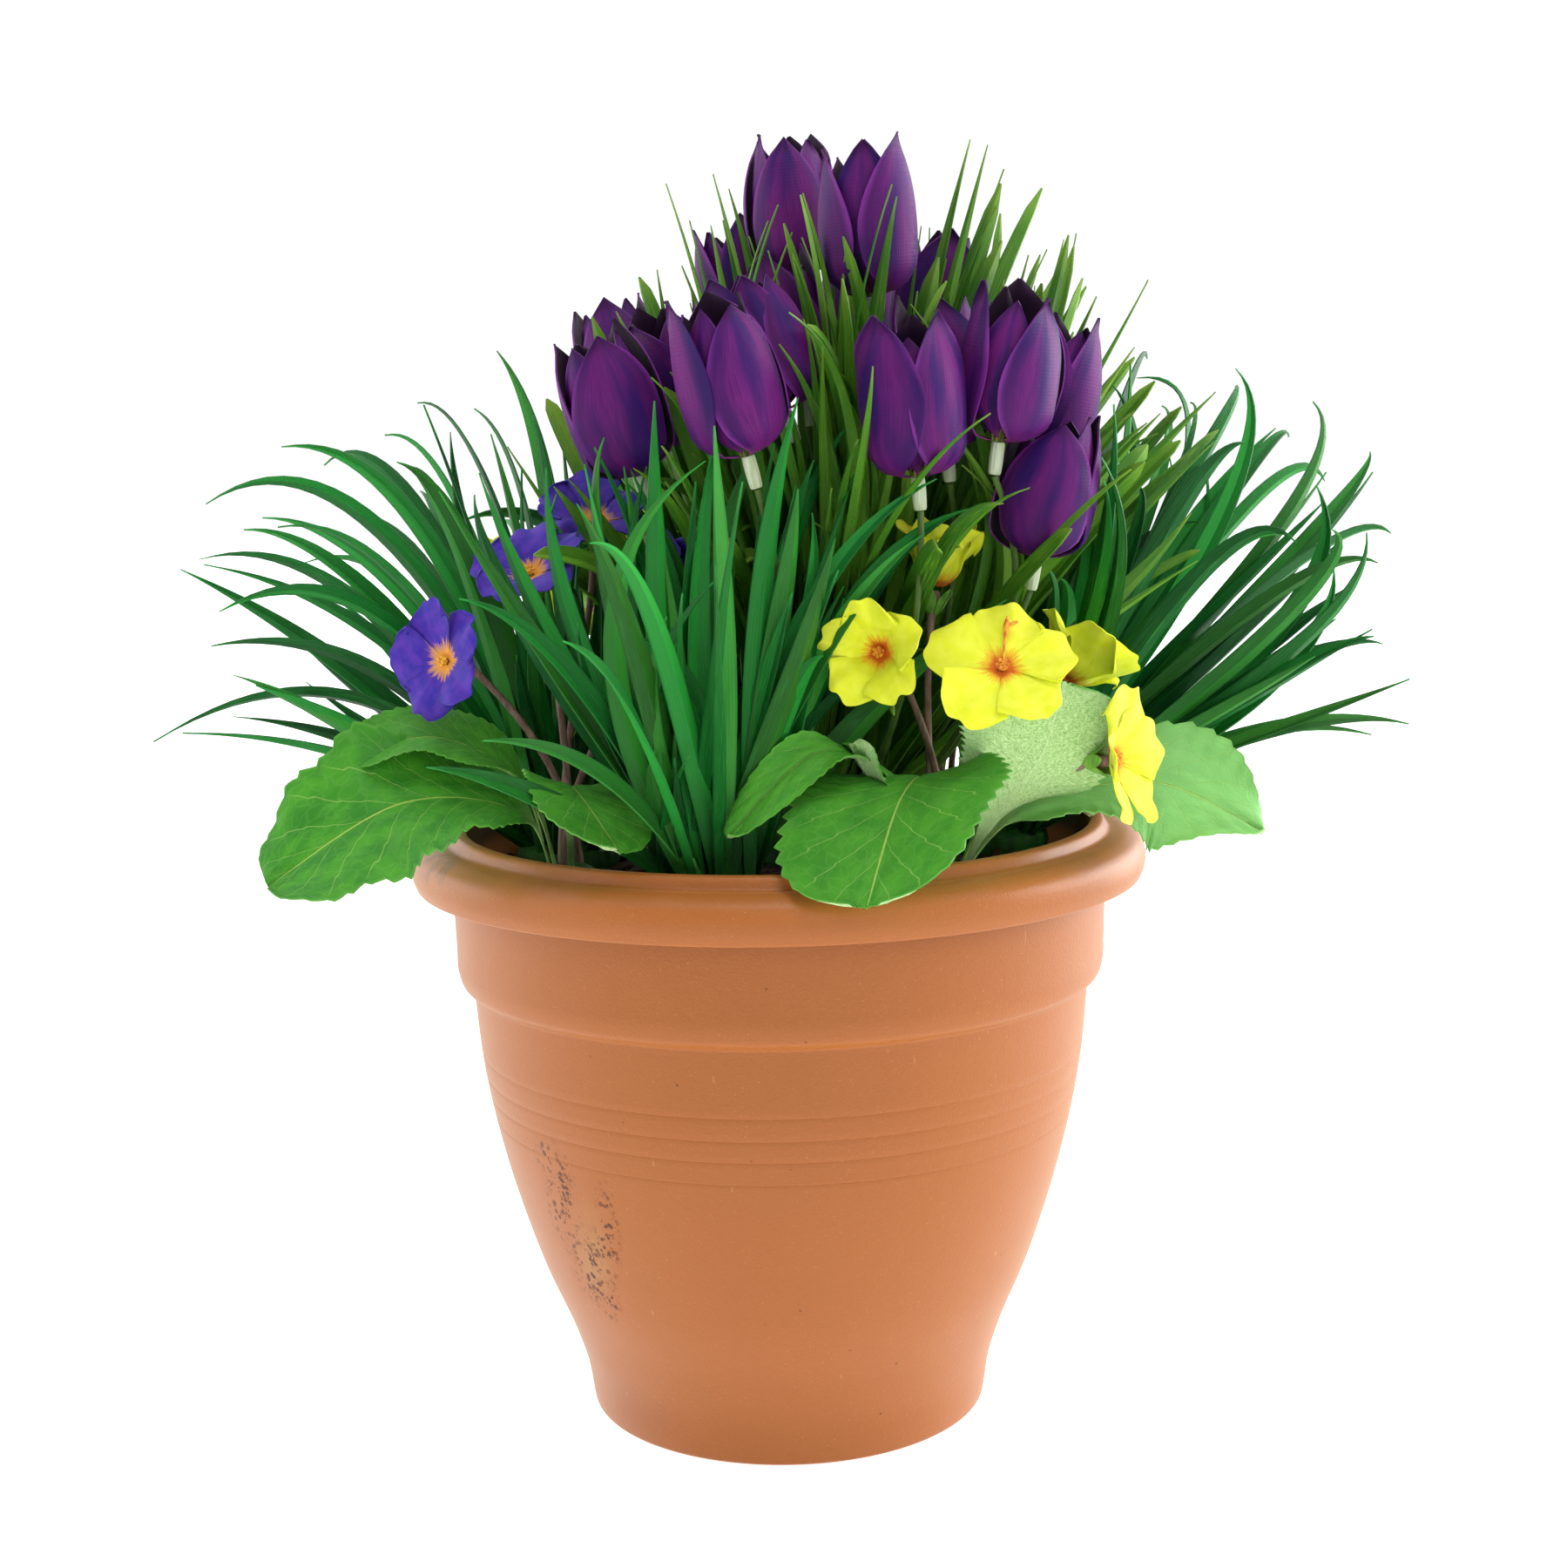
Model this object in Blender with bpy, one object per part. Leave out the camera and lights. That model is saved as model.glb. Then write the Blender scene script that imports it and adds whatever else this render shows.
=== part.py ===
"""Artificial tulip patio planter: cloth tulips, cloth primroses and moulded grass in a bell pot.

Sizes are in millimetres and are turned into metres as each mesh is made. The origin is the middle
of the pot's foot, +X is to the right as the planter is seen, +Y is away from the viewer, +Z is up.
"""
import math
import random

import bmesh
import bpy
from mathutils import Quaternion, Vector
from mathutils.bvhtree import BVHTree

MM = 0.001
UP = Vector((0, 0, 1))
CLEAR = 0.3       # left between two pieces that rest on each other
TEST_CLEAR = 0.5  # kept between leaves of different plants as they are placed

# Pot
POT_SIDES = 32
WALL = 3.0
FLOOR = 4.0
POT_HEIGHT = 245.2
FOOT_R = 82.3
SHOULDER_R = 123.2  # inside, below the band
BAND_R = 133.5
LIP_R = 150.0
MOUTH_R = 127.0
# Body of the bell, foot to shoulder: height and outer radius
BELL = [(4, 82.8), (18, 85.0), (33, 89.6), (63, 101.8), (86, 109.4), (118, 118.0), (150, 123.8),
        (176, 126.2)]
FLOOR_R = BELL[0][1] - WALL - 3  # inside, where the floor begins to round up into the wall
DRAIN_R = 6.0
DRAIN_SIDES = 6
DRAIN_RING = 50.0
DRAIN_COUNT = 4

# Potting mix
MIX_GAP = CLEAR + 0.2
MIX_TOP_R = 129.1
MIX_EDGE_Z = 221.0
MIX_MIDDLE_Z = 229.0
MIX_SIDES = 32

# Crowns: the moulded stub of each plant, standing in a plain hole in the mix
CROWN_TOP_Z = 237.0
CROWN_SIDES = 8
ROOT_DEPTH = 5.0  # how far roots are sunk in the crown
ROOT_Z = CROWN_TOP_Z - ROOT_DEPTH

# Tulips: each bloom from its foot to its tip, then the turn of its petals in degrees
TULIP_CROWN = (12, 8, 30, 42)
BLOOM_R = 18.5
TULIPS = [
    ((12, 14, 463), (8, 16, 518), 20), ((41, -32, 452), (36, -34, 508), 75),
    ((-4, 47, 434), (-15, 49, 488), 50), ((13, -13, 415), (3, -15, 467), 10),
    ((6, -54, 409), (-10, -58, 458), 95), ((-8, -95, 393), (-22, -99, 447), 66),
    ((-50, -58, 386), (-67, -63, 436), 40), ((-30, -24, 398), (-43, -28, 447), 0),
    ((54, -87, 384), (50, -91, 439), 78), ((66, 9, 424), (70, 10, 479), 30),
    ((85, -72, 396), (92, -76, 451), 60), ((106, -26, 390), (116, -27, 442), 100),
    ((100, -60, 352), (109, -62, 404), 15), ((68, -43, 393), (64, -44, 448), 45),
    ((38, 62, 428), (44, 70, 482), 85), ((-52, 22, 402), (-66, 30, 452), 25),
    ((-22, 92, 392), (-32, 104, 442), 70), ((84, 68, 396), (96, 79, 446), 5),
]
STEM_R = 1.9
STEM_SIDES = 4
SLEEVE_R = 2.8
SLEEVE_LENGTH = 12.0
STEM_ATTEMPTS = 60
TULIP_ROOT_R = (4, 20)  # roots of the stems: least distance from the crown's middle, and its spread

# A blade: shares of its width at its rows, its shape across, and how it is placed
BLADE_WIDTHS = (0.34, 0.90, 1.0, 0.68)
BLADE_POINTS = 5
BLADE_TOP = 0.4
BLADE_KEEL = (0.5, 0.11)   # depth of the keel, and what each millimetre of width adds
BLADE_ATTEMPTS = 110
CLEAR_OF_OWN = 105         # attempts in which a blade also stays clear of its own plant
BLADE_ROOTS = (0.82, 0.5)  # share of the crown's radius, outwards and sideways
BLADE_TWIST = (25, 70)     # degrees
GRASS_WIDTH = (7.5, 10.5)
TULIP_LEAF_WIDTH = (6, 9.5)

# Blades: tip (x, y, z) and how far the middle stands off the chord (x, z)
TULIP_BLADES = [
    (-40, 30, 500, 10, 10), (-15, 10, 500, 10, 10), (0, -15, 490, 15, 15), (15, -45, 490, 15, 15),
    (50, -50, 490, 5, 30), (80, -20, 510, -5, 5), (90, -15, 485, -5, 20), (80, 40, 480, 10, 20),
    (105, 10, 470, 10, 10), (125, 20, 470, 10, 10), (130, 25, 460, 10, 15), (130, 0, 450, 10, 15),
    (5, -55, 470, 10, 25), (15, -70, 440, 15, 40), (0, -60, 430, 0, 45), (-50, -10, 460, 0, 30),
    (-45, -30, 430, 0, 25), (70, -45, 450, 10, 35), (55, -70, 445, 40, 10), (70, -75, 445, 30, 10),
    (85, -40, 460, 20, 15), (105, -75, 420, 30, 20), (40, -80, 420, 20, 35), (10, -70, 415, 5, 25),
    (-30, -60, 410, 0, 40), (155, 20, 415, 15, 30), (170, 40, 410, 20, 25), (155, -10, 395, 20, 25),
    (-100, -20, 425, -10, 20), (-80, -40, 380, -10, 25),
]
LEFT_BLADES = [
    (-245, -35, 285, 5, 40), (-200, -50, 305, -15, 15), (-225, -15, 320, 5, 30),
    (-195, 20, 315, -10, 10), (-230, 5, 350, 5, 25), (-230, -10, 355, 0, 40),
    (-220, 25, 365, -5, 35), (-210, 15, 370, 0, 35), (-235, 30, 375, 0, 60),
    (-185, 45, 335, -5, 15), (-175, 40, 380, 0, 30), (-200, 20, 400, 5, 45),
    (-190, 50, 390, -5, 60), (-155, 55, 390, -5, 40), (-155, 35, 410, 0, 45),
    (-150, 45, 420, 5, 45), (-125, -20, 400, -10, 20), (-125, 60, 410, 5, 40),
    (-110, 30, 435, 5, 35), (-95, 10, 410, 0, 35),
]
FRONT_BLADES = [
    (-110, -130, 345, 0, 25), (-105, -110, 380, -20, 20), (-80, -100, 390, -15, 10),
    (-60, -85, 400, -15, 25), (-25, -110, 395, -30, 15), (-55, -75, 385, 15, 20),
    (0, -95, 405, -15, 20), (0, -70, 400, 0, 15), (15, -80, 395, 0, 15), (25, -60, 405, 0, 20),
    (10, -100, 380, 5, 20), (15, -85, 370, 10, 15), (65, -90, 380, 0, 25), (65, -110, 375, 0, 20),
    (105, -55, 370, 0, 10), (-35, -125, 300, -5, 0), (-45, -118, 290, -5, 5),
    (-40, -130, 340, -10, 5), (-50, -112, 330, 10, 20), (20, -130, 340, 5, 10),
]
RIGHT_BLADES = [
    (250, 10, 310, 25, 25), (240, -15, 315, 25, 20), (240, 35, 330, 25, 20),
    (245, 0, 345, 25, 35), (260, 40, 355, 30, 40), (255, 55, 385, 40, 35), (225, 25, 375, 45, 10),
    (220, -25, 360, 45, 25), (225, 60, 405, 50, 25), (240, 80, 375, 25, 55),
    (205, -30, 355, 15, 45), (225, 75, 395, 30, 50), (185, -20, 395, 15, 40),
    (195, 45, 425, 40, 30), (200, 70, 415, 30, 50), (175, 50, 415, 50, 40),
    (180, 65, 415, 30, 40), (170, 75, 410, 25, 40), (165, 85, 430, 10, 55),
    (150, 30, 380, 20, 35), (115, 5, 400, 25, 30), (110, -25, 385, 15, 25),
    (135, 40, 420, 25, 35), (105, -15, 390, 20, 30), (105, -35, 345, 15, 25),
]
# Grass tufts: crown (x, y, radius, depth), listed blades, number of further blades and the middle
# and half spread of their headings in degrees from +X
TUFTS = {
    "grass_tuft_left": ((-86, -5, 20, 32), LEFT_BLADES, 10, (165, 80)),
    "grass_tuft_front": ((-26, -90, 20, 32), FRONT_BLADES, 4, (265, 70)),
    "grass_tuft_right": ((92, 15, 20, 32), RIGHT_BLADES, 4, (50, 60)),
    "grass_tuft_back": ((2, 90, 20, 32), [], 30, (90, 100)),
}

GRASS_REACH = (20, 150)
GRASS_RISE = (110, 185)
# Further tulip leaves: number, headings as above, reach from the crown, rise above it
TULIP_MORE = (14, (100, 160), (20, 110), (150, 240))

# Primrose plants: crown, flowers (middle, way it faces), leaves (points from crown outwards, width)
FLOWER_R = {"yellow": 28.0, "violet": 24.0}
PRIMROSES = {
    "primrose_yellow_front": ("yellow", (62, -72, 10, 26), [
        ((39, -89, 320), (-0.35, -0.9, 0.12)), ((82, -112, 316), (0.05, -0.75, 0.65)),
        ((62, -58, 343), (0.15, 0.1, 0.95)), ((112, -60, 306), (0.6, 0.25, 0.75)),
        ((124, -102, 280), (0.83, -0.5, 0.15)),
    ], [
        ([(56, -90, 272), (44, -120, 270), (30, -164, 240)], 80, 6),
        ([(82, -86, 260), (97, -104, 284), (104, -108, 310)], 44, 4),
        ([(98, -68, 262), (140, -72, 272), (180, -86, 250)], 54, 35),
        ([(50, -78, 256), (38, -92, 270), (28, -100, 288)], 28, -20),
        ([(48, -86, 268), (16, -104, 286), (-18, -122, 258)], 20, -30),
        ([(82, -60, 256), (104, -54, 262), (122, -52, 252)], 32, 10),
    ]),
    "primrose_violet_front": ("violet", (-80, -62, 10, 26), [
        ((-124, -70, 318), (-0.6, -0.75, 0.2)), ((-92, -58, 350), (-0.2, -0.55, 0.8)),
        ((-70, -16, 368), (0.1, -0.5, 0.85)), ((-36, -40, 342), (0.5, 0.3, 0.8)),
    ], [
        ([(-98, -66, 272), (-128, -70, 290), (-160, -72, 284)], 38, -20),
        ([(-98, -76, 262), (-140, -92, 268), (-188, -104, 240)], 72, -35),
        ([(-78, -80, 268), (-72, -102, 272), (-56, -126, 254)], 44, -20),
        ([(-98, -46, 264), (-132, -40, 272), (-160, -34, 256)], 40, 10),
    ]),
    "primrose_yellow_back": ("yellow", (-66, 72, 10, 26), [
        ((-128, 74, 336), (-0.7, 0.3, 0.6)), ((-84, 112, 330), (-0.3, 0.8, 0.5)),
        ((-56, 84, 352), (0.1, 0.4, 0.9)),
    ], [
        ([(-84, 84, 262), (-112, 112, 272), (-140, 140, 246)], 66, 0),
        ([(-62, 96, 262), (-62, 124, 270), (-66, 158, 244)], 58, 0),
        ([(-90, 66, 262), (-124, 76, 272), (-162, 84, 248)], 54, 0),
    ]),
    "primrose_violet_back": ("violet", (72, 70, 10, 26), [
        ((104, 108, 322), (0.5, 0.75, 0.4)), ((66, 122, 330), (0.0, 0.85, 0.5)),
        ((112, 66, 344), (0.6, 0.2, 0.8)),
    ], [
        ([(88, 84, 262), (112, 108, 272), (138, 134, 246)], 66, 0),
        ([(72, 92, 262), (68, 124, 270), (62, 158, 244)], 58, 0),
        ([(96, 72, 262), (130, 76, 270), (166, 76, 248)], 54, 0),
    ]),
}
FLOWER_STEM_R = 1.9
FLOWER_ROOT_R = 3.6
FLOWER_DEPTH = 2.6  # from a flower's middle to its back
CALYX_R = 5.0
CALYX_LENGTH = 9.0
LEAF_ROOT_R = 0.72  # share of the crown's radius
LEAF_ATTEMPTS = 60
LEAF_TURN = 6       # degrees
LEAF_HALF = 0.6     # half thickness along the midrib
LEAF_CUP = 0.14     # rise of the edges as a share of the half width

COLOURS = {
    "terracotta_plastic": ((0.56, 0.25, 0.10), 0.42),
    "potting_mix": ((0.05, 0.035, 0.025), 0.95),
    "tulip_green": ((0.10, 0.22, 0.04), 0.5),
    "grass_green": ((0.02, 0.22, 0.06), 0.42),
    "tulip_cloth": ((0.15, 0.02, 0.20), 0.8),
    "yellow_cloth": ((0.85, 0.80, 0.03), 0.8),
    "violet_cloth": ((0.07, 0.03, 0.45), 0.8),
    "primrose_green": ((0.10, 0.32, 0.05), 0.75),
}


def clear_scene():
    for old in list(bpy.data.objects):
        bpy.data.objects.remove(old, do_unlink=True)


def finish(name):
    """Returns the material of that name, made once."""
    if name in bpy.data.materials:
        return bpy.data.materials[name]
    colour, roughness = COLOURS[name]
    made = bpy.data.materials.new(name)
    made.use_nodes = True
    shader = made.node_tree.nodes["Principled BSDF"]
    shader.inputs["Base Color"].default_value = (*colour, 1)
    shader.inputs["Roughness"].default_value = roughness
    shader.inputs["Metallic"].default_value = 0.0
    return made


def add_object(name, shape, material, smooth=True):
    """Adds one solid, given as points in millimetres and faces."""
    points, faces = shape
    mesh = bpy.data.meshes.new(name)
    mesh.from_pydata([Vector(p) * MM for p in points], [], faces)
    made = bpy.data.objects.new(name, mesh)
    bpy.context.scene.collection.objects.link(made)
    mesh.materials.append(finish(material))
    if smooth:
        mesh.shade_smooth()
        mesh.set_sharp_from_angle(angle=math.radians(40))
    return made


def apply_modifiers(thing):
    """Replaces an object's mesh by what its modifiers make of it."""
    bpy.context.view_layer.update()
    graph = bpy.context.evaluated_depsgraph_get()
    made = bpy.data.meshes.new_from_object(thing.evaluated_get(graph))
    thing.modifiers.clear()
    thing.data = made


def turn_diagonal(work, edge, one, two):
    """Gives two flat neighbours their other diagonal, and tells whether that could be done."""
    c = next(vert for vert in one.verts if vert not in edge.verts)
    d = next(vert for vert in two.verts if vert not in edge.verts)
    order = list(one.verts)
    start = order.index(c)
    a, b = order[(start + 1) % 3], order[(start + 2) % 3]
    if work.edges.get((c, d)):
        return False
    for x, y, z in ((d, b, c), (c, a, d)):
        if (y.co - x.co).cross(z.co - x.co).dot(one.normal) <= 0:
            return False
    bmesh.ops.delete(work, geom=[one, two], context="FACES_ONLY")
    work.faces.new((d, b, c))
    work.faces.new((c, a, d))
    return True


def part_shared_diagonals(work):
    """Parts two pairs of faces whose diagonals fell on the same edge."""
    for edge in [edge for edge in work.edges if len(edge.link_faces) == 4]:
        faces = list(edge.link_faces)
        pairs = [(one, two) for one in faces for two in faces
                 if one.index < two.index and one.normal.dot(two.normal) > 0.99999]
        for one, two in pairs:
            if turn_diagonal(work, edge, one, two):
                break


def keep_largest(thing):
    """Triangulates a fused mesh and drops the loose scraps beside its main body."""
    work = bmesh.new()
    work.from_mesh(thing.data)
    bmesh.ops.triangulate(work, faces=work.faces)
    bmesh.ops.remove_doubles(work, verts=work.verts, dist=1e-7)
    work.faces.index_update()
    part_shared_diagonals(work)
    left = set(work.faces)
    bodies = []
    while left:
        body = {left.pop()}
        edge_of_body = list(body)
        while edge_of_body:
            face = edge_of_body.pop()
            near = {other for edge in face.edges for other in edge.link_faces} & left
            left -= near
            body |= near
            edge_of_body.extend(near)
        bodies.append(body)
    bodies.sort(key=len)
    for body in bodies[:-1]:
        bmesh.ops.delete(work, geom=list(body), context="FACES")
    work.to_mesh(thing.data)
    work.free()


def join_solids(thing, others, operation):
    """Adds other solids to an object, or cuts them from it, and removes them."""
    group = bpy.data.collections.new("tools")
    bpy.context.scene.collection.children.link(group)
    for other in others:
        bpy.context.scene.collection.objects.unlink(other)
        group.objects.link(other)
    step = thing.modifiers.new("join", "BOOLEAN")
    step.operation = operation
    step.operand_type = "COLLECTION"
    step.collection = group
    step.solver = "EXACT"
    apply_modifiers(thing)
    for other in others:
        bpy.data.objects.remove(other, do_unlink=True)
    bpy.data.collections.remove(group)
    keep_largest(thing)


def fuse(name, shapes, material):
    """Makes one object of several solids that run into each other."""
    body = add_object(name, shapes[0], material, smooth=False)
    parts = [add_object("part", shape, material, smooth=False) for shape in shapes[1:]]
    join_solids(body, parts, "UNION")
    body.data.shade_smooth()
    body.data.set_sharp_from_angle(angle=math.radians(40))
    return body


def turned(profile, sides, turn=0.0):
    """Turns an outline that runs from axis to axis, bottom to top on the outside."""
    points, rings = [], []
    for radius, height in profile:
        if radius == 0:
            rings.append([len(points)])
            points.append((0, 0, height))
            continue
        rings.append(range(len(points), len(points) + sides))
        for side in range(sides):
            angle = turn + math.tau * side / sides
            points.append((radius * math.cos(angle), radius * math.sin(angle), height))
    faces = []
    for low, high in zip(rings, rings[1:]):
        for side in range(sides):
            after = (side + 1) % sides
            if len(low) == 1:
                faces.append((low[0], high[after], high[side]))
            elif len(high) == 1:
                faces.append((low[side], low[after], high[0]))
            else:
                faces.append((low[side], low[after], high[after], high[side]))
    return points, faces


def moved(shape, offset):
    points, faces = shape
    return [Vector(p) + Vector(offset) for p in points], faces


def rod(x, y, radius, low, high, sides=CROWN_SIDES):
    outline = [(0, low), (radius, low), (radius, high), (0, high)]
    return moved(turned(outline, sides), (x, y, 0))


def wall_inside(height):
    """Inner radius of the pot at a height, up to the shoulder."""
    for (z0, r0), (z1, r1) in zip(BELL, BELL[1:]):
        if height <= z1:
            return r0 + (r1 - r0) * (height - z0) / (z1 - z0) - WALL
    return BELL[-1][1] - WALL


def pot_outline():
    outside = [(0, 0), (FOOT_R - 1.5, 0), (FOOT_R, 1.5)]
    outside += [(radius, height) for height, radius in BELL]
    band = [(126.8, 180), (131.0, 182.6), (132.8, 188.5), (BAND_R, 222)]
    under_lip = [(134.0, 233), (139.5, 236), (144.3, 229), (145.3, 222.8)]
    lip = [(147.2, 222.4), (149.6, 226.5), (LIP_R, 231), (147.4, 236.8), (140.5, 240.2),
           (133.2, 240.2), (130.6, POT_HEIGHT), (MOUTH_R, 244.4)]
    inside = [(MIX_TOP_R + 0.7, 228), (MIX_TOP_R + MIX_GAP, 194), (SHOULDER_R, 176)]
    inside += [(wall_inside(height), height) for height in (118, 63, 33, FLOOR + 6)]
    inside += [(FLOOR_R, FLOOR), (0, FLOOR)]
    return outside + band + under_lip + lip + inside


def crown_shape(crown):
    x, y, radius, depth = crown
    return rod(x, y, radius, CROWN_TOP_Z - depth, CROWN_TOP_Z)


def all_crowns():
    crowns = [TULIP_CROWN] + [tuft[0] for tuft in TUFTS.values()]
    return crowns + [plant[1] for plant in PRIMROSES.values()]


def make_pot():
    pot = add_object("pot", turned(pot_outline(), POT_SIDES), "terracotta_plastic")
    holes = []
    for number in range(DRAIN_COUNT):
        angle = math.tau * (number + 0.5) / DRAIN_COUNT
        x, y = DRAIN_RING * math.cos(angle), DRAIN_RING * math.sin(angle)
        cutter = rod(x, y, DRAIN_R, -FLOOR, 2 * FLOOR, DRAIN_SIDES)
        holes.append(add_object("hole", cutter, "terracotta_plastic"))
    join_solids(pot, holes, "DIFFERENCE")
    pot.data.set_sharp_from_angle(angle=math.radians(50))


def make_mix():
    outline = [(0, FLOOR + CLEAR), (FLOOR_R - CLEAR, FLOOR + CLEAR)]
    outline += [(wall_inside(height) - MIX_GAP, height) for height in (FLOOR + 6, 33, 63, 118)]
    outline += [(SHOULDER_R - MIX_GAP, 176.5), (MIX_TOP_R, 195), (MIX_TOP_R, MIX_EDGE_Z),
                (0, MIX_MIDDLE_Z)]
    mix = add_object("potting_mix", turned(outline, MIX_SIDES), "potting_mix")
    holes = []
    for x, y, radius, depth in all_crowns():
        hole = rod(x, y, radius + CLEAR / math.cos(math.pi / CROWN_SIDES),
                   CROWN_TOP_Z - depth - CLEAR, CROWN_TOP_Z + 20)
        holes.append(add_object("hole", hole, "potting_mix"))
    join_solids(mix, holes, "DIFFERENCE")


def curve_through(root, tip, bow, count):
    """Points along a bowed line; bow is how far its middle stands off the straight chord."""
    root, tip = Vector(root), Vector(tip)
    pull = (root + tip) / 2 + 2 * Vector(bow)
    steps = [index / (count - 1) for index in range(count)]
    return [root * (1 - t) ** 2 + pull * 2 * t * (1 - t) + tip * t * t for t in steps]


def tangents(line):
    last = len(line) - 1
    return [(line[min(i + 1, last)] - line[max(i - 1, 0)]).normalized() for i in range(last + 1)]


def side_of(line, twist):
    """Level direction across a leaf, turned about the leaf by twist radians."""
    run = line[-1] - line[0]
    level = Vector((run.x, run.y, 0))
    if level.length < 1:
        level = Vector((1, 0, 0))
    across = level.normalized().cross(UP)
    return [Quaternion(way, twist) @ (across - across.dot(way) * way).normalized()
            for way in tangents(line)]


def blade(line, width, twist, grow=0.0):
    """A three-sided blade: flat above, with a keel below, running to a point."""
    sides = side_of(line, twist)
    ways = tangents(line)
    points = []
    for here, side, way, share in zip(line[:-1], sides, ways, BLADE_WIDTHS):
        face = side.cross(way)
        half = width * share / 2 + grow
        keel = BLADE_KEEL[0] + BLADE_KEEL[1] * width * share + grow
        top = face * (BLADE_TOP + grow)
        points += [here - side * half + top, here - face * keel, here + side * half + top]
    points.append(line[-1] + ways[-1] * grow)
    faces = [(0, 1, 2)]
    for low in range(0, len(points) - 4, 3):
        for a, b in ((0, 1), (1, 2), (2, 0)):
            faces += [(low + b, low + a, low + a + 3), (low + b, low + a + 3, low + b + 3)]
    top = len(points) - 4
    faces += [(top + b, top + a, len(points) - 1) for a, b in ((0, 1), (1, 2), (2, 0))]
    return points, faces


def tube(line, radii, sides):
    """A round stem through the points of a line, closed at both ends."""
    points = []
    for here, way, radius in zip(line, tangents(line), radii):
        first = (Vector((1, 0, 0)) - way.x * way).normalized()
        second = way.cross(first)
        for side in range(sides):
            angle = math.tau * side / sides
            points.append(here + (first * math.cos(angle) + second * math.sin(angle)) * radius)
    rings = [range(n * sides, (n + 1) * sides) for n in range(len(line))]
    faces = [tuple(reversed(rings[0])), tuple(rings[-1])]
    for low, high in zip(rings, rings[1:]):
        for side in range(sides):
            after = (side + 1) % sides
            faces.append((low[side], low[after], high[after], high[side]))
    return points, faces


class Room:
    """Remembers the solids already placed, to tell whether a new one would touch them."""

    def __init__(self):
        self.placed = []

    @staticmethod
    def box(points):
        low = [min(p[axis] for p in points) for axis in range(3)]
        high = [max(p[axis] for p in points) for axis in range(3)]
        return low, high

    def add(self, owner, shape):
        points, faces = shape
        tree = BVHTree.FromPolygons(points, faces, epsilon=0.0)
        self.placed.append((owner, self.box(points), tree))

    def hits(self, shape, skip=None, only=None):
        points, faces = shape
        low, high = self.box(points)
        tree = None
        for owner, (other_low, other_high), other in self.placed:
            if owner == skip or (only is not None and owner != only):
                continue
            if any(low[n] > other_high[n] or high[n] < other_low[n] for n in range(3)):
                continue
            if tree is None:
                tree = BVHTree.FromPolygons(points, faces, epsilon=0.0)
            if tree.overlap(other):
                return owner
        return None


def petal(axis, foot, heading, outline, lean):
    """A cupped petal, thick along its middle and sharp at its edges."""
    first = (Vector((1, 0, 0)) - axis.x * axis).normalized()
    second = axis.cross(first)

    def place(angle, radius, height):
        out = first * math.cos(angle) + second * math.sin(angle)
        return foot + axis * height + out * radius

    points = []
    for height, radius, half in outline[:-1]:
        spread = half / max(radius, BLOOM_CUP[2][0])
        points += [place(heading - spread, radius, height),
                   place(heading, radius + PETAL_HALF, height),
                   place(heading + spread, radius, height),
                   place(heading, radius - PETAL_HALF, height)]
    height, radius, _ = outline[-1]
    points.append(place(heading + lean, radius, height))
    faces = [(3, 2, 1, 0)]
    for low in range(0, len(points) - 5, 4):
        for a, b in ((0, 1), (2, 3)):
            faces += [(low + a, low + b, low + b + 4), (low + a, low + b + 4, low + a + 4)]
        for a, b in ((1, 2), (3, 0)):
            faces += [(low + a, low + b, low + a + 4), (low + b, low + b + 4, low + a + 4)]
    top = len(points) - 5
    faces += [(top + a, top + b, len(points) - 1) for a, b in ((0, 1), (1, 2), (2, 3), (3, 0))]
    return points, faces


# Petal outlines: height along the bloom and distance from its axis, as shares of the bloom's
# length and radius, then half width as a share of the radius
OUTER_PETAL = [(0.04, 0.20, 0.09), (0.17, 0.80, 0.66), (0.50, 1.00, 0.88), (0.80, 0.86, 0.62),
               (1.0, 0.62, 0)]
INNER_PETAL = [(0.09, 0.10, 0.05), (0.50, 0.78, 0.68), (0.88, 0.54, 0)]
PETAL_HALF = 0.5   # half thickness along the middle
PETAL_LEAN = 0.12  # sideways lean of the tip, in radians about the bloom's axis
BLOOM_CUP = [(0, 0), (3.6, 0), (6.2, 6.4), (0, 7.4)]


def bloom_shapes(foot, tip, turn):
    foot, tip = Vector(foot), Vector(tip)
    length = (tip - foot).length
    axis = (tip - foot).normalized()
    points, faces = turned(BLOOM_CUP, 6, math.radians(turn))
    spin = UP.rotation_difference(axis)
    shapes = [([spin @ Vector(p) + foot for p in points], faces)]
    for number in range(6):
        heading = math.radians(turn + 60 * number)
        outline = OUTER_PETAL if number % 2 == 0 else INNER_PETAL
        sized = [(height * length, radius * BLOOM_R, half * BLOOM_R)
                 for height, radius, half in outline]
        shapes.append(petal(axis, foot, heading, sized, PETAL_LEAN))
    return shapes


def merged(shapes):
    """Lists several solids as one set of points and faces."""
    points, faces = [], []
    for more_points, more_faces in shapes:
        start = len(points)
        points += more_points
        faces += [tuple(index + start for index in face) for face in more_faces]
    return points, faces


def make_blooms(room):
    for number, (foot, tip, turn) in enumerate(TULIPS, start=1):
        name = f"tulip_bloom_{number:02d}"
        shapes = bloom_shapes(foot, tip, turn)
        touched = room.hits(merged(shapes))
        if touched:
            print("bloom touches", name, touched)
        room.add(name, merged(shapes))
        fuse(name, shapes, "tulip_cloth")


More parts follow.
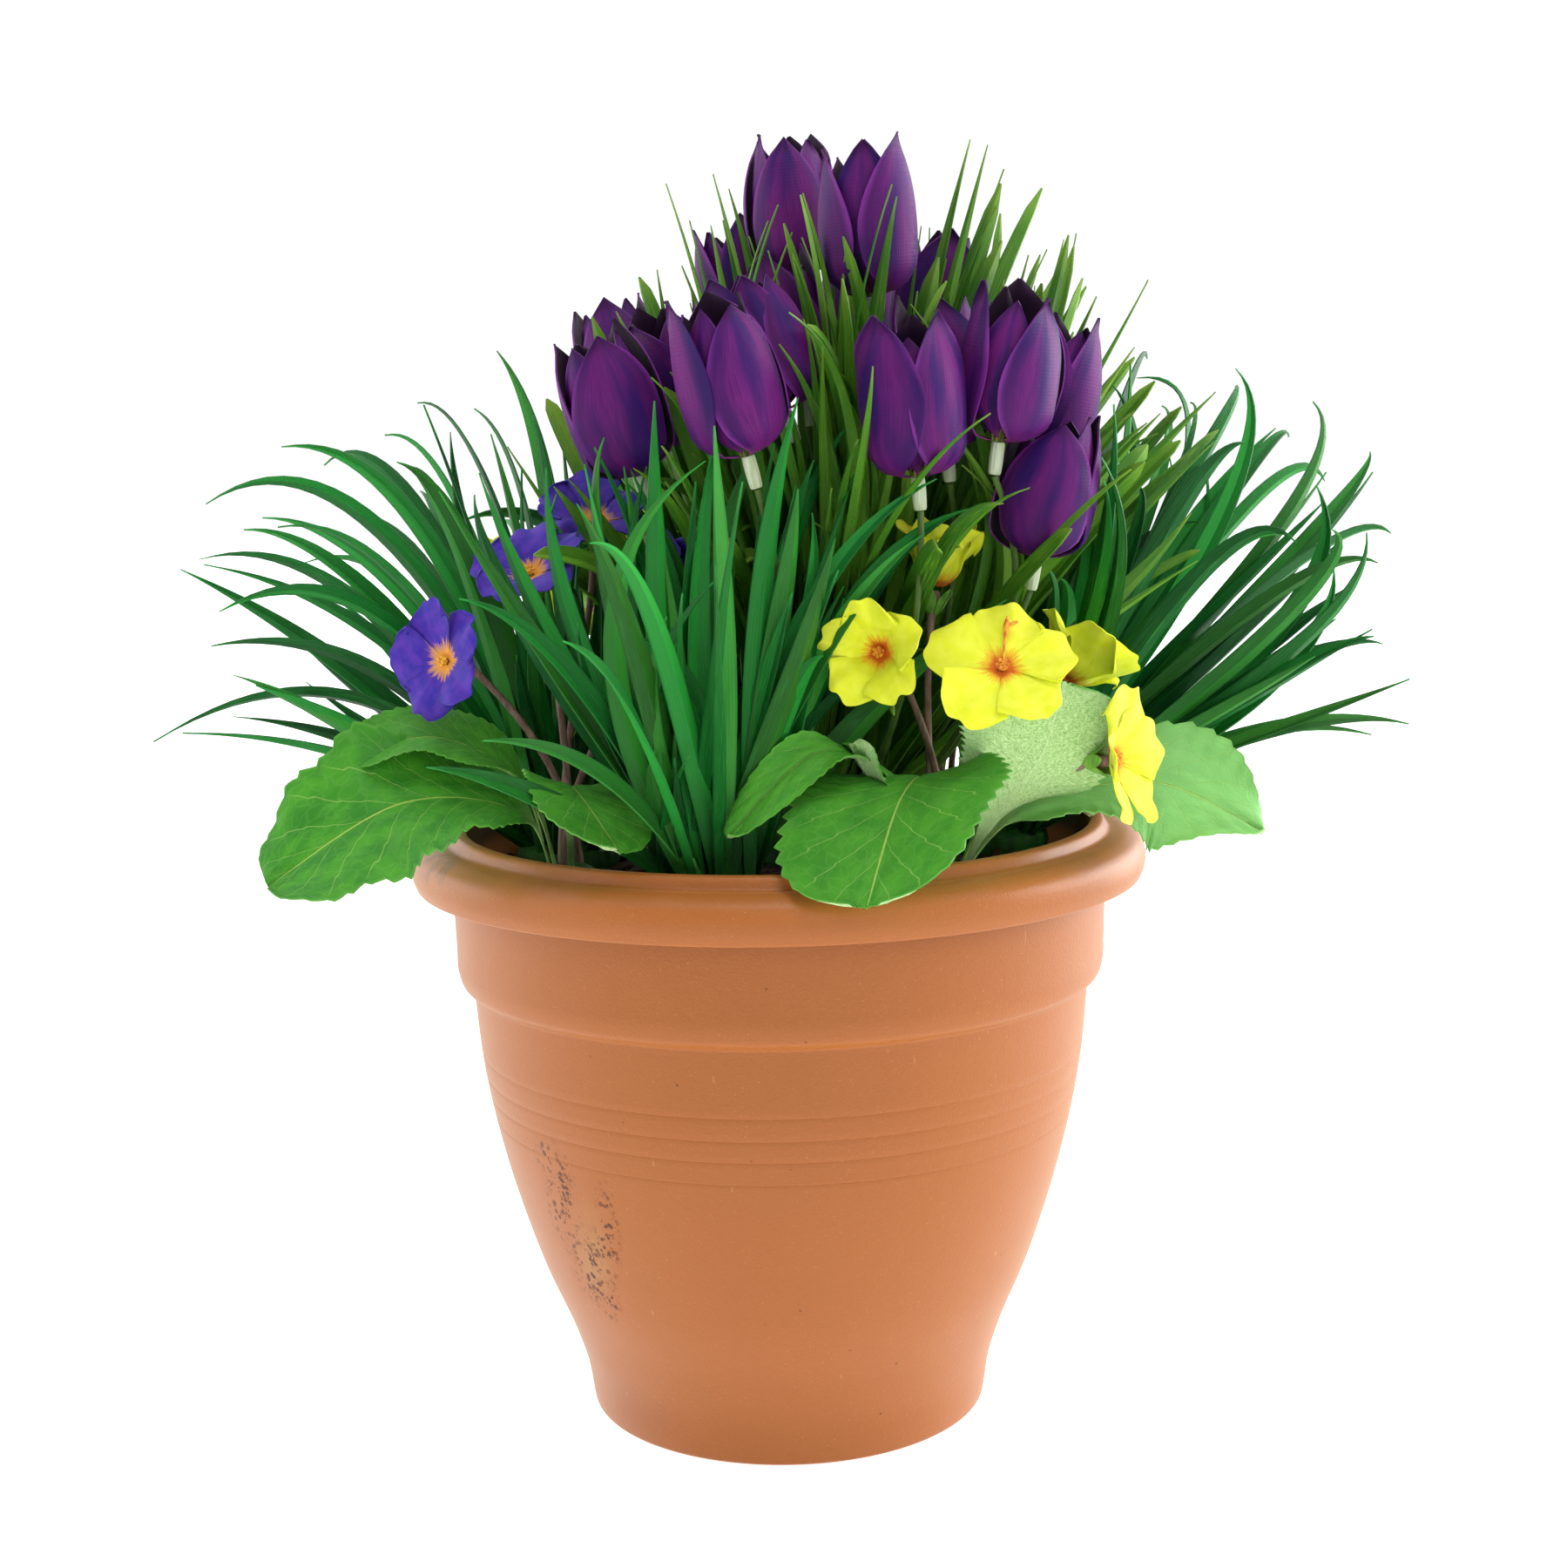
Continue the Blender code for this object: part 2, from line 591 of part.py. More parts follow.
def stem_shape(crown, foot, tip, sway):
    """A tulip stem from the crown, thicker where the sleeve covers its top."""
    foot = Vector(foot)
    axis = (Vector(tip) - foot).normalized()
    top = foot - axis * CLEAR
    neck = top - axis * SLEEVE_LENGTH
    heading = Vector((foot.x - crown[0], foot.y - crown[1], 0))
    reach = min(heading.length, 100) / 100
    out = heading.normalized() if heading.length > 1 else Vector((1, 0, 0))
    root = Vector((crown[0], crown[1], ROOT_Z)) + out * (TULIP_ROOT_R[0] + TULIP_ROOT_R[1] * reach)
    span = (neck - root).length
    pull = neck - axis * span * 0.45 + Vector(sway)
    line = []
    for step in range(3):
        t = step / 3
        line.append(root * (1 - t) ** 2 + pull * 2 * t * (1 - t) + neck * t * t)
    line += [neck - axis * 0.6, neck, top]
    radii = [STEM_R] * 4 + [SLEEVE_R] * 2
    return tube(line, radii, STEM_SIDES)


def try_blade(room, owner, line, width, twist, others_only):
    """Tells whether a blade is free of other plants and, unless only they count, of its own."""
    grown = blade(line, width, twist, TEST_CLEAR)
    if room.hits(grown, skip=owner):
        return False
    if others_only:
        return True
    return not room.hits(blade(line, width, twist), only=owner)


def place_blades(room, draw, owner, crown, wanted, width_range, shapes):
    """Places each wanted blade, bending it little by little until it is clear."""
    x, y, radius, _ = crown
    for target in wanted:
        tip_x, tip_y, tip_z, bow_x, bow_z = target
        heading = Vector((tip_x - x, tip_y - y, 0))
        out = heading.normalized() if heading.length > 1 else Vector((0, -1, 0))
        across = out.cross(UP)
        width = draw.uniform(*width_range)
        for attempt in range(BLADE_ATTEMPTS):
            loose = 0.4 * attempt
            root = Vector((x, y, ROOT_Z)) + out * radius * draw.uniform(0, BLADE_ROOTS[0])
            root += across * radius * draw.uniform(-BLADE_ROOTS[1], BLADE_ROOTS[1])
            stray = Vector((draw.uniform(-0.4, 0.4), draw.uniform(-1, 1), draw.uniform(-0.4, 0.2)))
            tip = Vector((tip_x, tip_y, tip_z)) + stray * loose
            bow = Vector((bow_x, 0, bow_z)) + across * draw.uniform(-0.5, 0.5) * loose
            bow.z += draw.uniform(-0.15, 0.3) * loose
            twist = draw.choice((-1, 1)) * math.radians(draw.uniform(*BLADE_TWIST))
            line = curve_through(root, tip, bow, BLADE_POINTS)
            if try_blade(room, owner, line, width, twist, attempt >= CLEAR_OF_OWN):
                shape = blade(line, width, twist)
                shapes.append(shape)
                room.add(owner, shape)
                break
        else:
            print("no room for a blade", owner, target)


def drawn_blades(draw, crown, count, headings, reach_range, height_range):
    """Further blades that fan out from a crown, as listed blades are given."""
    x, y, _, _ = crown
    middle, spread = headings
    wanted = []
    for number in range(count):
        share = (number + 0.5) / count * 2 - 1
        angle = math.radians(middle + spread * share + draw.uniform(-8, 8))
        lean = (number * 0.618) % 1
        reach = reach_range[0] + (reach_range[1] - reach_range[0]) * lean
        height = height_range[1] - (height_range[1] - height_range[0]) * lean
        height += draw.uniform(-12, 12)
        tip = (x + reach * math.cos(angle), y + reach * math.sin(angle), CROWN_TOP_Z + height)
        wanted.append((*tip, 0, 12 + 36 * lean))
    return wanted


# Rows of a primrose leaf: share of its length, then share of its full width, in and out by turns
LEAF_ROWS = [(0, 0.08), (0.22, 0.09), (0.38, 0.50), (0.50, 0.74), (0.62, 1.00), (0.74, 0.92),
             (0.86, 0.84), (0.95, 0.50)]


def leaf(points_along, width, twist, grow=0.0):
    """A primrose leaf: a stalk that widens into a notched, cupped blade."""
    knots = [Vector(p) for p in points_along]
    line = []
    spans = len(knots) - 1
    for share, _ in LEAF_ROWS + [(1.0, 0)]:
        place = share * spans
        index = min(int(place), spans - 1)
        t = place - index
        before = knots[max(index - 1, 0)]
        start, end = knots[index], knots[index + 1]
        after = knots[min(index + 2, spans)]
        line.append(0.5 * ((2 * start) + (end - before) * t
                           + (2 * before - 5 * start + 4 * end - after) * t * t
                           + (3 * start - before - 3 * end + after) * t ** 3))
    ways = tangents(line)
    points = []
    for (place, share), here, side, way in zip(LEAF_ROWS, line, side_of(line, 0), ways):
        side = Quaternion(way, twist * min(1, 1.5 * place)) @ side
        face = side.cross(way)
        half = width * share / 2 + grow
        cup = face * (LEAF_CUP * half)
        points += [here - side * half + cup, here + face * (LEAF_HALF + grow),
                   here + side * half + cup, here - face * (LEAF_HALF + grow)]
    points.append(line[-1] + ways[-1] * grow)
    faces = [(0, 3, 2), (0, 2, 1)]
    for low in range(0, len(points) - 5, 4):
        for a, b in ((0, 1), (2, 3)):
            faces += [(low + b, low + b + 4, low + a), (low + a, low + b + 4, low + a + 4)]
        for a, b in ((1, 2), (3, 0)):
            faces += [(low + b, low + a + 4, low + a), (low + b, low + b + 4, low + a + 4)]
    top = len(points) - 5
    faces += [(top + b, len(points) - 1, top + a) for a, b in ((0, 1), (1, 2), (2, 3), (3, 0))]
    return points, faces


# Rim of one petal of a flower: degrees from its middle, share of the radius, height
FLOWER_RIM = [(-36, 0.78, 0.6), (-23, 0.97, 4.2), (0, 0.94, 2.2), (22, 1.0, 3.4)]


def flower_shape(middle, facing, radius, turn):
    """A five-petalled flower: a shallow funnel with notched, waved petals."""
    facing = Vector(facing).normalized()
    spin = UP.rotation_difference(facing)
    rim = []
    for number in range(5):
        for step, share, lift in FLOWER_RIM:
            rim.append((math.radians(turn + 72 * number + step), share * radius, lift))
    count = len(rim)
    points = [(0, 0, -0.4), (0, 0, -FLOWER_DEPTH)]
    for angle, reach, _ in rim:
        points.append((0.42 * reach * math.cos(angle), 0.42 * reach * math.sin(angle), 1.9))
    for angle, reach, lift in rim:
        points.append((reach * math.cos(angle), reach * math.sin(angle), lift))
    faces = []
    for n in range(count):
        m = (n + 1) % count
        top_n, top_m = 2 + n, 2 + m
        rim_n, rim_m = 2 + count + n, 2 + count + m
        faces += [(0, top_n, top_m), (1, rim_m, rim_n)]
        faces += [(top_n, rim_n, rim_m), (top_n, rim_m, top_m)]
    return [spin @ Vector(p) + Vector(middle) for p in points], faces


def flower_stem(crown, middle, facing, turn):
    """A flower stem from the crown that ends in the green calyx behind the flower."""
    facing = Vector(facing).normalized()
    top = Vector(middle) - facing * (FLOWER_DEPTH + CLEAR)
    neck = top - facing * CALYX_LENGTH
    angle = math.radians(turn)
    root = Vector((crown[0], crown[1], ROOT_Z))
    root += Vector((math.cos(angle), math.sin(angle), 0)) * FLOWER_ROOT_R
    span = (neck - root).length
    pull_low = root + UP * span * 0.45
    pull_high = neck - facing * span * 0.22 - UP * span * 0.12
    line = []
    for step in range(4):
        t = step / 4
        line.append(root * (1 - t) ** 3 + pull_low * 3 * t * (1 - t) ** 2
                    + pull_high * 3 * t * t * (1 - t) + neck * t ** 3)
    line += [neck, top - facing * 4, top]
    radii = [FLOWER_STEM_R] * 5 + [CALYX_R, CALYX_R * 0.72]
    return tube(line, radii, STEM_SIDES)


def place_tulip_stems(room, draw):
    """Stems of the tulips with their sleeves, on one crown."""
    owner = "tulip_greens"
    shapes = [crown_shape(TULIP_CROWN)]
    for number, (foot, tip, _) in enumerate(TULIPS, start=1):
        for attempt in range(STEM_ATTEMPTS):
            loose = 1.2 * attempt
            sway = [draw.uniform(-1, 1) * loose, draw.uniform(-1, 1) * loose, 0]
            shape = stem_shape(TULIP_CROWN, foot, tip, sway)
            if not room.hits(shape, skip=owner):
                break
        else:
            print("stem touches", number, room.hits(shape, skip=owner))
        shapes.append(shape)
        room.add(owner, shape)
    return shapes


def make_flowers(room):
    for name, (colour, _, flowers, _) in PRIMROSES.items():
        for number, (middle, facing) in enumerate(flowers):
            flower_name = f"{name}_flower_{number + 1}"
            flower = flower_shape(middle, facing, FLOWER_R[colour], 17 * number)
            touched = room.hits(flower)
            if touched:
                print("flower touches", flower_name, touched)
            room.add(flower_name, flower)
            add_object(flower_name, flower, f"{colour}_cloth")


def place_flower_stems(room, name):
    _, crown, flowers, _ = PRIMROSES[name]
    shapes = [crown_shape(crown)]
    for number, (middle, facing) in enumerate(flowers):
        stem = flower_stem(crown, middle, facing, 72 * number + 12)
        touched = room.hits(stem, skip=name)
        if touched:
            print("flower stem touches", name, number + 1, touched)
        room.add(name, stem)
        shapes.append(stem)
    return shapes


def place_leaves(room, name):
    """Places each leaf of a primrose plant, shifting it little by little until it is clear."""
    _, crown, _, leaves = PRIMROSES[name]
    draw = random.Random(name)
    shapes = []
    for points_along, width, tilt in leaves:
        knots = [Vector(p) for p in points_along]
        out = Vector((knots[0].x - crown[0], knots[0].y - crown[1], 0)).normalized()
        root = Vector((crown[0], crown[1], ROOT_Z)) + out * crown[2] * LEAF_ROOT_R
        for attempt in range(LEAF_ATTEMPTS):
            loose = 0.35 * attempt
            bent = [root] + [knot + Vector([draw.uniform(-1, 1) * loose for _ in range(3)])
                             for knot in knots]
            twist = math.radians(tilt + draw.uniform(-LEAF_TURN, LEAF_TURN))
            if not room.hits(leaf(bent, width, twist, TEST_CLEAR), skip=name):
                shape = leaf(bent, width, twist)
                room.add(name, shape)
                shapes.append(shape)
                break
        else:
            print("no room for a leaf", name, points_along[-1])
    return shapes


def main():
    clear_scene()
    room = Room()
    make_pot()
    make_mix()
    room.add("pot", turned(pot_outline(), POT_SIDES))
    mix_top = [(0, MIX_EDGE_Z - 20), (MIX_TOP_R, MIX_EDGE_Z - 20), (MIX_TOP_R, MIX_EDGE_Z),
               (0, MIX_MIDDLE_Z)]
    room.add("potting_mix", turned(mix_top, MIX_SIDES))
    make_blooms(room)
    make_flowers(room)
    plant_shapes = {name: place_flower_stems(room, name) for name in PRIMROSES}
    tulip_draw = random.Random(11)
    tulip_shapes = place_tulip_stems(room, tulip_draw)
    for name in PRIMROSES:
        plant_shapes[name] += place_leaves(room, name)
    tuft_shapes = {}
    for name, (crown, listed, _, _) in TUFTS.items():
        tuft_shapes[name] = [crown_shape(crown)]
        draw = random.Random(name)
        place_blades(room, draw, name, crown, listed, GRASS_WIDTH, tuft_shapes[name])
    place_blades(room, tulip_draw, "tulip_greens", TULIP_CROWN, TULIP_BLADES, TULIP_LEAF_WIDTH,
                 tulip_shapes)
    for name, (crown, _, count, headings) in TUFTS.items():
        draw = random.Random(name + " more")
        wanted = drawn_blades(draw, crown, count, headings, GRASS_REACH, GRASS_RISE)
        place_blades(room, draw, name, crown, wanted, GRASS_WIDTH, tuft_shapes[name])
    wanted = drawn_blades(tulip_draw, TULIP_CROWN, *TULIP_MORE)
    place_blades(room, tulip_draw, "tulip_greens", TULIP_CROWN, wanted, TULIP_LEAF_WIDTH,
                 tulip_shapes)

    fuse("tulip_greens", tulip_shapes, "tulip_green")
    for name, shapes in plant_shapes.items():
        fuse(name + "_greens", shapes, "primrose_green")
    for name, shapes in tuft_shapes.items():
        fuse(name, shapes, "grass_green")


main()
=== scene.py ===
"""Looks of the artificial tulip planter: cloth flowers, moulded grass and a satin plastic bell pot.

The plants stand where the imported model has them. The same rules, seeds and sizes as in the model's
own source are worked out again here in millimetres, so that each finer leaf follows its solid.
"""
import math
import random

import bpy
import numpy as np
from mathutils import Matrix, Quaternion, Vector, noise
from mathutils.bvhtree import BVHTree


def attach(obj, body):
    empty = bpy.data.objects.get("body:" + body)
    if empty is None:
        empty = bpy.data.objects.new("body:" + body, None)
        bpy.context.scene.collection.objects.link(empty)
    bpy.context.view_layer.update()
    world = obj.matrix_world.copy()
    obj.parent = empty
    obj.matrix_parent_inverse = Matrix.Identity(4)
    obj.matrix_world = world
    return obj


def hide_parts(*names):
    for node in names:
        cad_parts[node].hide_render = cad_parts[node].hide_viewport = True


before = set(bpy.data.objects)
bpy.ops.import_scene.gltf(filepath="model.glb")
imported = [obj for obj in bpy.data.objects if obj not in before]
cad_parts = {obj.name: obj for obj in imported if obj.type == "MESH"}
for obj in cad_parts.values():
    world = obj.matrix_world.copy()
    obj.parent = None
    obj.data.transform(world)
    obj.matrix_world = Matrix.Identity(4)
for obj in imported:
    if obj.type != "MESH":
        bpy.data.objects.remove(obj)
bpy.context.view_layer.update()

MM = 0.001
UP = Vector((0, 0, 1))
CLEAR = 0.3       # left between two pieces that rest on each other
TEST_CLEAR = 0.5  # kept between leaves of different plants as they are placed

# Pot
POT_SIDES = 32
WALL = 3.0
FLOOR = 4.0
POT_HEIGHT = 245.2
FOOT_R = 82.3
SHOULDER_R = 123.2  # inside, below the band
BAND_R = 133.5
LIP_R = 150.0
MOUTH_R = 127.0
# Body of the bell, foot to shoulder: height and outer radius
BELL = [(4, 82.8), (18, 85.0), (33, 89.6), (63, 101.8), (86, 109.4), (118, 118.0), (150, 123.8),
        (176, 126.2)]
FLOOR_R = BELL[0][1] - WALL - 3  # inside, where the floor begins to round up into the wall
DRAIN_R = 6.0
DRAIN_RING = 50.0
DRAIN_COUNT = 4

# Potting mix
MIX_GAP = CLEAR + 0.2
MIX_TOP_R = 129.1
MIX_EDGE_Z = 221.0
MIX_MIDDLE_Z = 229.0
MIX_SIDES = 32

# Crowns: the moulded stub of each plant, standing in a plain hole in the mix
CROWN_TOP_Z = 237.0
ROOT_DEPTH = 5.0  # how far roots are sunk in the crown
ROOT_Z = CROWN_TOP_Z - ROOT_DEPTH

# Tulips: each bloom from its foot to its tip, then the turn of its petals in degrees
TULIP_CROWN = (12, 8, 30, 42)
BLOOM_R = 18.5
TULIPS = [
    ((12, 14, 463), (8, 16, 518), 20), ((41, -32, 452), (36, -34, 508), 75),
    ((-4, 47, 434), (-15, 49, 488), 50), ((13, -13, 415), (3, -15, 467), 10),
    ((6, -54, 409), (-10, -58, 458), 95), ((-8, -95, 393), (-22, -99, 447), 66),
    ((-50, -58, 386), (-67, -63, 436), 40), ((-30, -24, 398), (-43, -28, 447), 0),
    ((54, -87, 384), (50, -91, 439), 78), ((66, 9, 424), (70, 10, 479), 30),
    ((85, -72, 396), (92, -76, 451), 60), ((106, -26, 390), (116, -27, 442), 100),
    ((100, -60, 352), (109, -62, 404), 15), ((68, -43, 393), (64, -44, 448), 45),
    ((38, 62, 428), (44, 70, 482), 85), ((-52, 22, 402), (-66, 30, 452), 25),
    ((-22, 92, 392), (-32, 104, 442), 70), ((84, 68, 396), (96, 79, 446), 5),
]
STEM_R = 1.9
STEM_SIDES = 4
SLEEVE_R = 2.8
SLEEVE_LENGTH = 12.0
STEM_ATTEMPTS = 60
TULIP_ROOT_R = (4, 20)  # roots of the stems: least distance from the crown's middle, and its spread
STEM_STEP = 1.2         # millimetres that a stem sways further at each attempt
TULIP_SEED = 11
GOLDEN = 0.618          # share by which a row of numbers spreads evenly

# Petals of a bloom: height along it and distance from its axis, as shares of its length and
# radius, then half width as a share of the radius
OUTER_PETAL = [(0.04, 0.20, 0.09), (0.17, 0.80, 0.66), (0.50, 1.00, 0.88), (0.80, 0.86, 0.62),
               (1.0, 0.62, 0)]
INNER_PETAL = [(0.09, 0.10, 0.05), (0.50, 0.78, 0.68), (0.88, 0.54, 0)]
PETAL_HALF = 0.5   # half thickness along the middle
PETAL_LEAN = 0.12  # sideways lean of the tip, in radians about the bloom's axis
BLOOM_CUP = [(0, 0), (3.6, 0), (6.2, 6.4), (0, 7.4)]

# A blade: shares of its width at its rows, its shape across, and how it is placed
BLADE_WIDTHS = (0.34, 0.90, 1.0, 0.68)
BLADE_POINTS = 5
BLADE_TOP = 0.4
BLADE_KEEL = (0.5, 0.11)   # depth of the keel, and what each millimetre of width adds
BLADE_ATTEMPTS = 110
CLEAR_OF_OWN = 105         # attempts in which a blade also stays clear of its own plant
BLADE_ROOTS = (0.82, 0.5)  # share of the crown's radius, outwards and sideways
BLADE_TWIST = (25, 70)     # degrees
BLADE_STEP = 0.4           # what each attempt adds to the millimetres of the strays below
TIP_STRAY = ((-0.4, 0.4), (-1, 1), (-0.4, 0.2))  # along X, Y and Z
BOW_STRAY = ((-0.5, 0.5), (-0.15, 0.3))          # sideways and upwards
GRASS_WIDTH = (7.5, 10.5)
TULIP_LEAF_WIDTH = (6, 9.5)

# Blades: tip (x, y, z) and how far the middle stands off the chord (x, z)
TULIP_BLADES = [
    (-40, 30, 500, 10, 10), (-15, 10, 500, 10, 10), (0, -15, 490, 15, 15), (15, -45, 490, 15, 15),
    (50, -50, 490, 5, 30), (80, -20, 510, -5, 5), (90, -15, 485, -5, 20), (80, 40, 480, 10, 20),
    (105, 10, 470, 10, 10), (125, 20, 470, 10, 10), (130, 25, 460, 10, 15), (130, 0, 450, 10, 15),
    (5, -55, 470, 10, 25), (15, -70, 440, 15, 40), (0, -60, 430, 0, 45), (-50, -10, 460, 0, 30),
    (-45, -30, 430, 0, 25), (70, -45, 450, 10, 35), (55, -70, 445, 40, 10), (70, -75, 445, 30, 10),
    (85, -40, 460, 20, 15), (105, -75, 420, 30, 20), (40, -80, 420, 20, 35), (10, -70, 415, 5, 25),
    (-30, -60, 410, 0, 40), (155, 20, 415, 15, 30), (170, 40, 410, 20, 25), (155, -10, 395, 20, 25),
    (-100, -20, 425, -10, 20), (-80, -40, 380, -10, 25),
]
LEFT_BLADES = [
    (-245, -35, 285, 5, 40), (-200, -50, 305, -15, 15), (-225, -15, 320, 5, 30),
    (-195, 20, 315, -10, 10), (-230, 5, 350, 5, 25), (-230, -10, 355, 0, 40),
    (-220, 25, 365, -5, 35), (-210, 15, 370, 0, 35), (-235, 30, 375, 0, 60),
    (-185, 45, 335, -5, 15), (-175, 40, 380, 0, 30), (-200, 20, 400, 5, 45),
    (-190, 50, 390, -5, 60), (-155, 55, 390, -5, 40), (-155, 35, 410, 0, 45),
    (-150, 45, 420, 5, 45), (-125, -20, 400, -10, 20), (-125, 60, 410, 5, 40),
    (-110, 30, 435, 5, 35), (-95, 10, 410, 0, 35),
]
FRONT_BLADES = [
    (-110, -130, 345, 0, 25), (-105, -110, 380, -20, 20), (-80, -100, 390, -15, 10),
    (-60, -85, 400, -15, 25), (-25, -110, 395, -30, 15), (-55, -75, 385, 15, 20),
    (0, -95, 405, -15, 20), (0, -70, 400, 0, 15), (15, -80, 395, 0, 15), (25, -60, 405, 0, 20),
    (10, -100, 380, 5, 20), (15, -85, 370, 10, 15), (65, -90, 380, 0, 25), (65, -110, 375, 0, 20),
    (105, -55, 370, 0, 10), (-35, -125, 300, -5, 0), (-45, -118, 290, -5, 5),
    (-40, -130, 340, -10, 5), (-50, -112, 330, 10, 20), (20, -130, 340, 5, 10),
]
RIGHT_BLADES = [
    (250, 10, 310, 25, 25), (240, -15, 315, 25, 20), (240, 35, 330, 25, 20),
    (245, 0, 345, 25, 35), (260, 40, 355, 30, 40), (255, 55, 385, 40, 35), (225, 25, 375, 45, 10),
    (220, -25, 360, 45, 25), (225, 60, 405, 50, 25), (240, 80, 375, 25, 55),
    (205, -30, 355, 15, 45), (225, 75, 395, 30, 50), (185, -20, 395, 15, 40),
    (195, 45, 425, 40, 30), (200, 70, 415, 30, 50), (175, 50, 415, 50, 40),
    (180, 65, 415, 30, 40), (170, 75, 410, 25, 40), (165, 85, 430, 10, 55),
    (150, 30, 380, 20, 35), (115, 5, 400, 25, 30), (110, -25, 385, 15, 25),
    (135, 40, 420, 25, 35), (105, -15, 390, 20, 30), (105, -35, 345, 15, 25),
]
# Grass tufts: crown (x, y, radius, depth), listed blades, number of further blades and the middle
# and half spread of their headings in degrees from +X
TUFTS = {
    "grass_tuft_left": ((-86, -5, 20, 32), LEFT_BLADES, 10, (165, 80)),
    "grass_tuft_front": ((-26, -90, 20, 32), FRONT_BLADES, 4, (265, 70)),
    "grass_tuft_right": ((92, 15, 20, 32), RIGHT_BLADES, 4, (50, 60)),
    "grass_tuft_back": ((2, 90, 20, 32), [], 30, (90, 100)),
}
GRASS_REACH = (20, 150)
GRASS_RISE = (110, 185)
HEADING_STRAY = 8  # degrees
RISE_STRAY = 12
RISE_BOW = (12, 36)  # bow of the steepest blade, and what the flattest has more
# Further tulip leaves: number, headings as above, reach from the crown, rise above it
TULIP_MORE = (14, (100, 160), (20, 110), (150, 240))

FLOWER_R = {"yellow": 28.0, "violet": 24.0}
# Primrose plants: colour, crown, flowers (middle, way it faces) and leaves (points from the crown
# outwards, width, tilt in degrees)
PRIMROSES = {
    "primrose_yellow_front": ("yellow", (62, -72, 10, 26), [
        ((39, -89, 320), (-0.35, -0.9, 0.12)), ((82, -112, 316), (0.05, -0.75, 0.65)),
        ((62, -58, 343), (0.15, 0.1, 0.95)), ((112, -60, 306), (0.6, 0.25, 0.75)),
        ((124, -102, 280), (0.83, -0.5, 0.15)),
    ], [
        ([(56, -90, 272), (44, -120, 270), (30, -164, 240)], 80, 6),
        ([(82, -86, 260), (97, -104, 284), (104, -108, 310)], 44, 4),
        ([(98, -68, 262), (140, -72, 272), (180, -86, 250)], 54, 35),
        ([(50, -78, 256), (38, -92, 270), (28, -100, 288)], 28, -20),
        ([(48, -86, 268), (16, -104, 286), (-18, -122, 258)], 20, -30),
        ([(82, -60, 256), (104, -54, 262), (122, -52, 252)], 32, 10),
    ]),
    "primrose_violet_front": ("violet", (-80, -62, 10, 26), [
        ((-124, -70, 318), (-0.6, -0.75, 0.2)), ((-92, -58, 350), (-0.2, -0.55, 0.8)),
        ((-70, -16, 368), (0.1, -0.5, 0.85)), ((-36, -40, 342), (0.5, 0.3, 0.8)),
    ], [
        ([(-98, -66, 272), (-128, -70, 290), (-160, -72, 284)], 38, -20),
        ([(-98, -76, 262), (-140, -92, 268), (-188, -104, 240)], 72, -35),
        ([(-78, -80, 268), (-72, -102, 272), (-56, -126, 254)], 44, -20),
        ([(-98, -46, 264), (-132, -40, 272), (-160, -34, 256)], 40, 10),
    ]),
    "primrose_yellow_back": ("yellow", (-66, 72, 10, 26), [
        ((-128, 74, 336), (-0.7, 0.3, 0.6)), ((-84, 112, 330), (-0.3, 0.8, 0.5)),
        ((-56, 84, 352), (0.1, 0.4, 0.9)),
    ], [
        ([(-84, 84, 262), (-112, 112, 272), (-140, 140, 246)], 66, 0),
        ([(-62, 96, 262), (-62, 124, 270), (-66, 158, 244)], 58, 0),
        ([(-90, 66, 262), (-124, 76, 272), (-162, 84, 248)], 54, 0),
    ]),
    "primrose_violet_back": ("violet", (72, 70, 10, 26), [
        ((104, 108, 322), (0.5, 0.75, 0.4)), ((66, 122, 330), (0.0, 0.85, 0.5)),
        ((112, 66, 344), (0.6, 0.2, 0.8)),
    ], [
        ([(88, 84, 262), (112, 108, 272), (138, 134, 246)], 66, 0),
        ([(72, 92, 262), (68, 124, 270), (62, 158, 244)], 58, 0),
        ([(96, 72, 262), (130, 76, 270), (166, 76, 248)], 54, 0),
    ]),
}
FLOWER_TURN = 17       # degrees from one flower of a plant to the next
STALK_TURN = (12, 72)  # degrees: the first stalk's root, and on to the next
FLOWER_STEM_R = 1.9
FLOWER_ROOT_R = 3.6
FLOWER_DEPTH = 2.6  # from a flower's middle to its back
CALYX_R = 5.0
CALYX_LENGTH = 9.0
LEAF_ROOT_R = 0.72  # share of the crown's radius
LEAF_ATTEMPTS = 60
LEAF_TURN = 6       # degrees
LEAF_HALF = 0.6     # half thickness along the midrib
LEAF_CUP = 0.14     # rise of the edges as a share of the half width
LEAF_STEP = 0.35    # millimetres that each further attempt strays
# Rows of a leaf: share of its length, then share of its full width, in and out by turns
LEAF_ROWS = [(0, 0.08), (0.22, 0.09), (0.38, 0.50), (0.50, 0.74), (0.62, 1.00), (0.74, 0.92),
             (0.86, 0.84), (0.95, 0.50)]
# Rim of one petal of a flower: degrees from its middle, share of the radius, height
FLOWER_RIM = [(-36, 0.78, 0.6), (-23, 0.97, 4.2), (0, 0.94, 2.2), (22, 1.0, 3.4)]
FLOWER_BOWL = (0.42, 1.9)  # the ring inside the rim: share of its reach, and height


# Plain solids and where they stand, as in the model's source

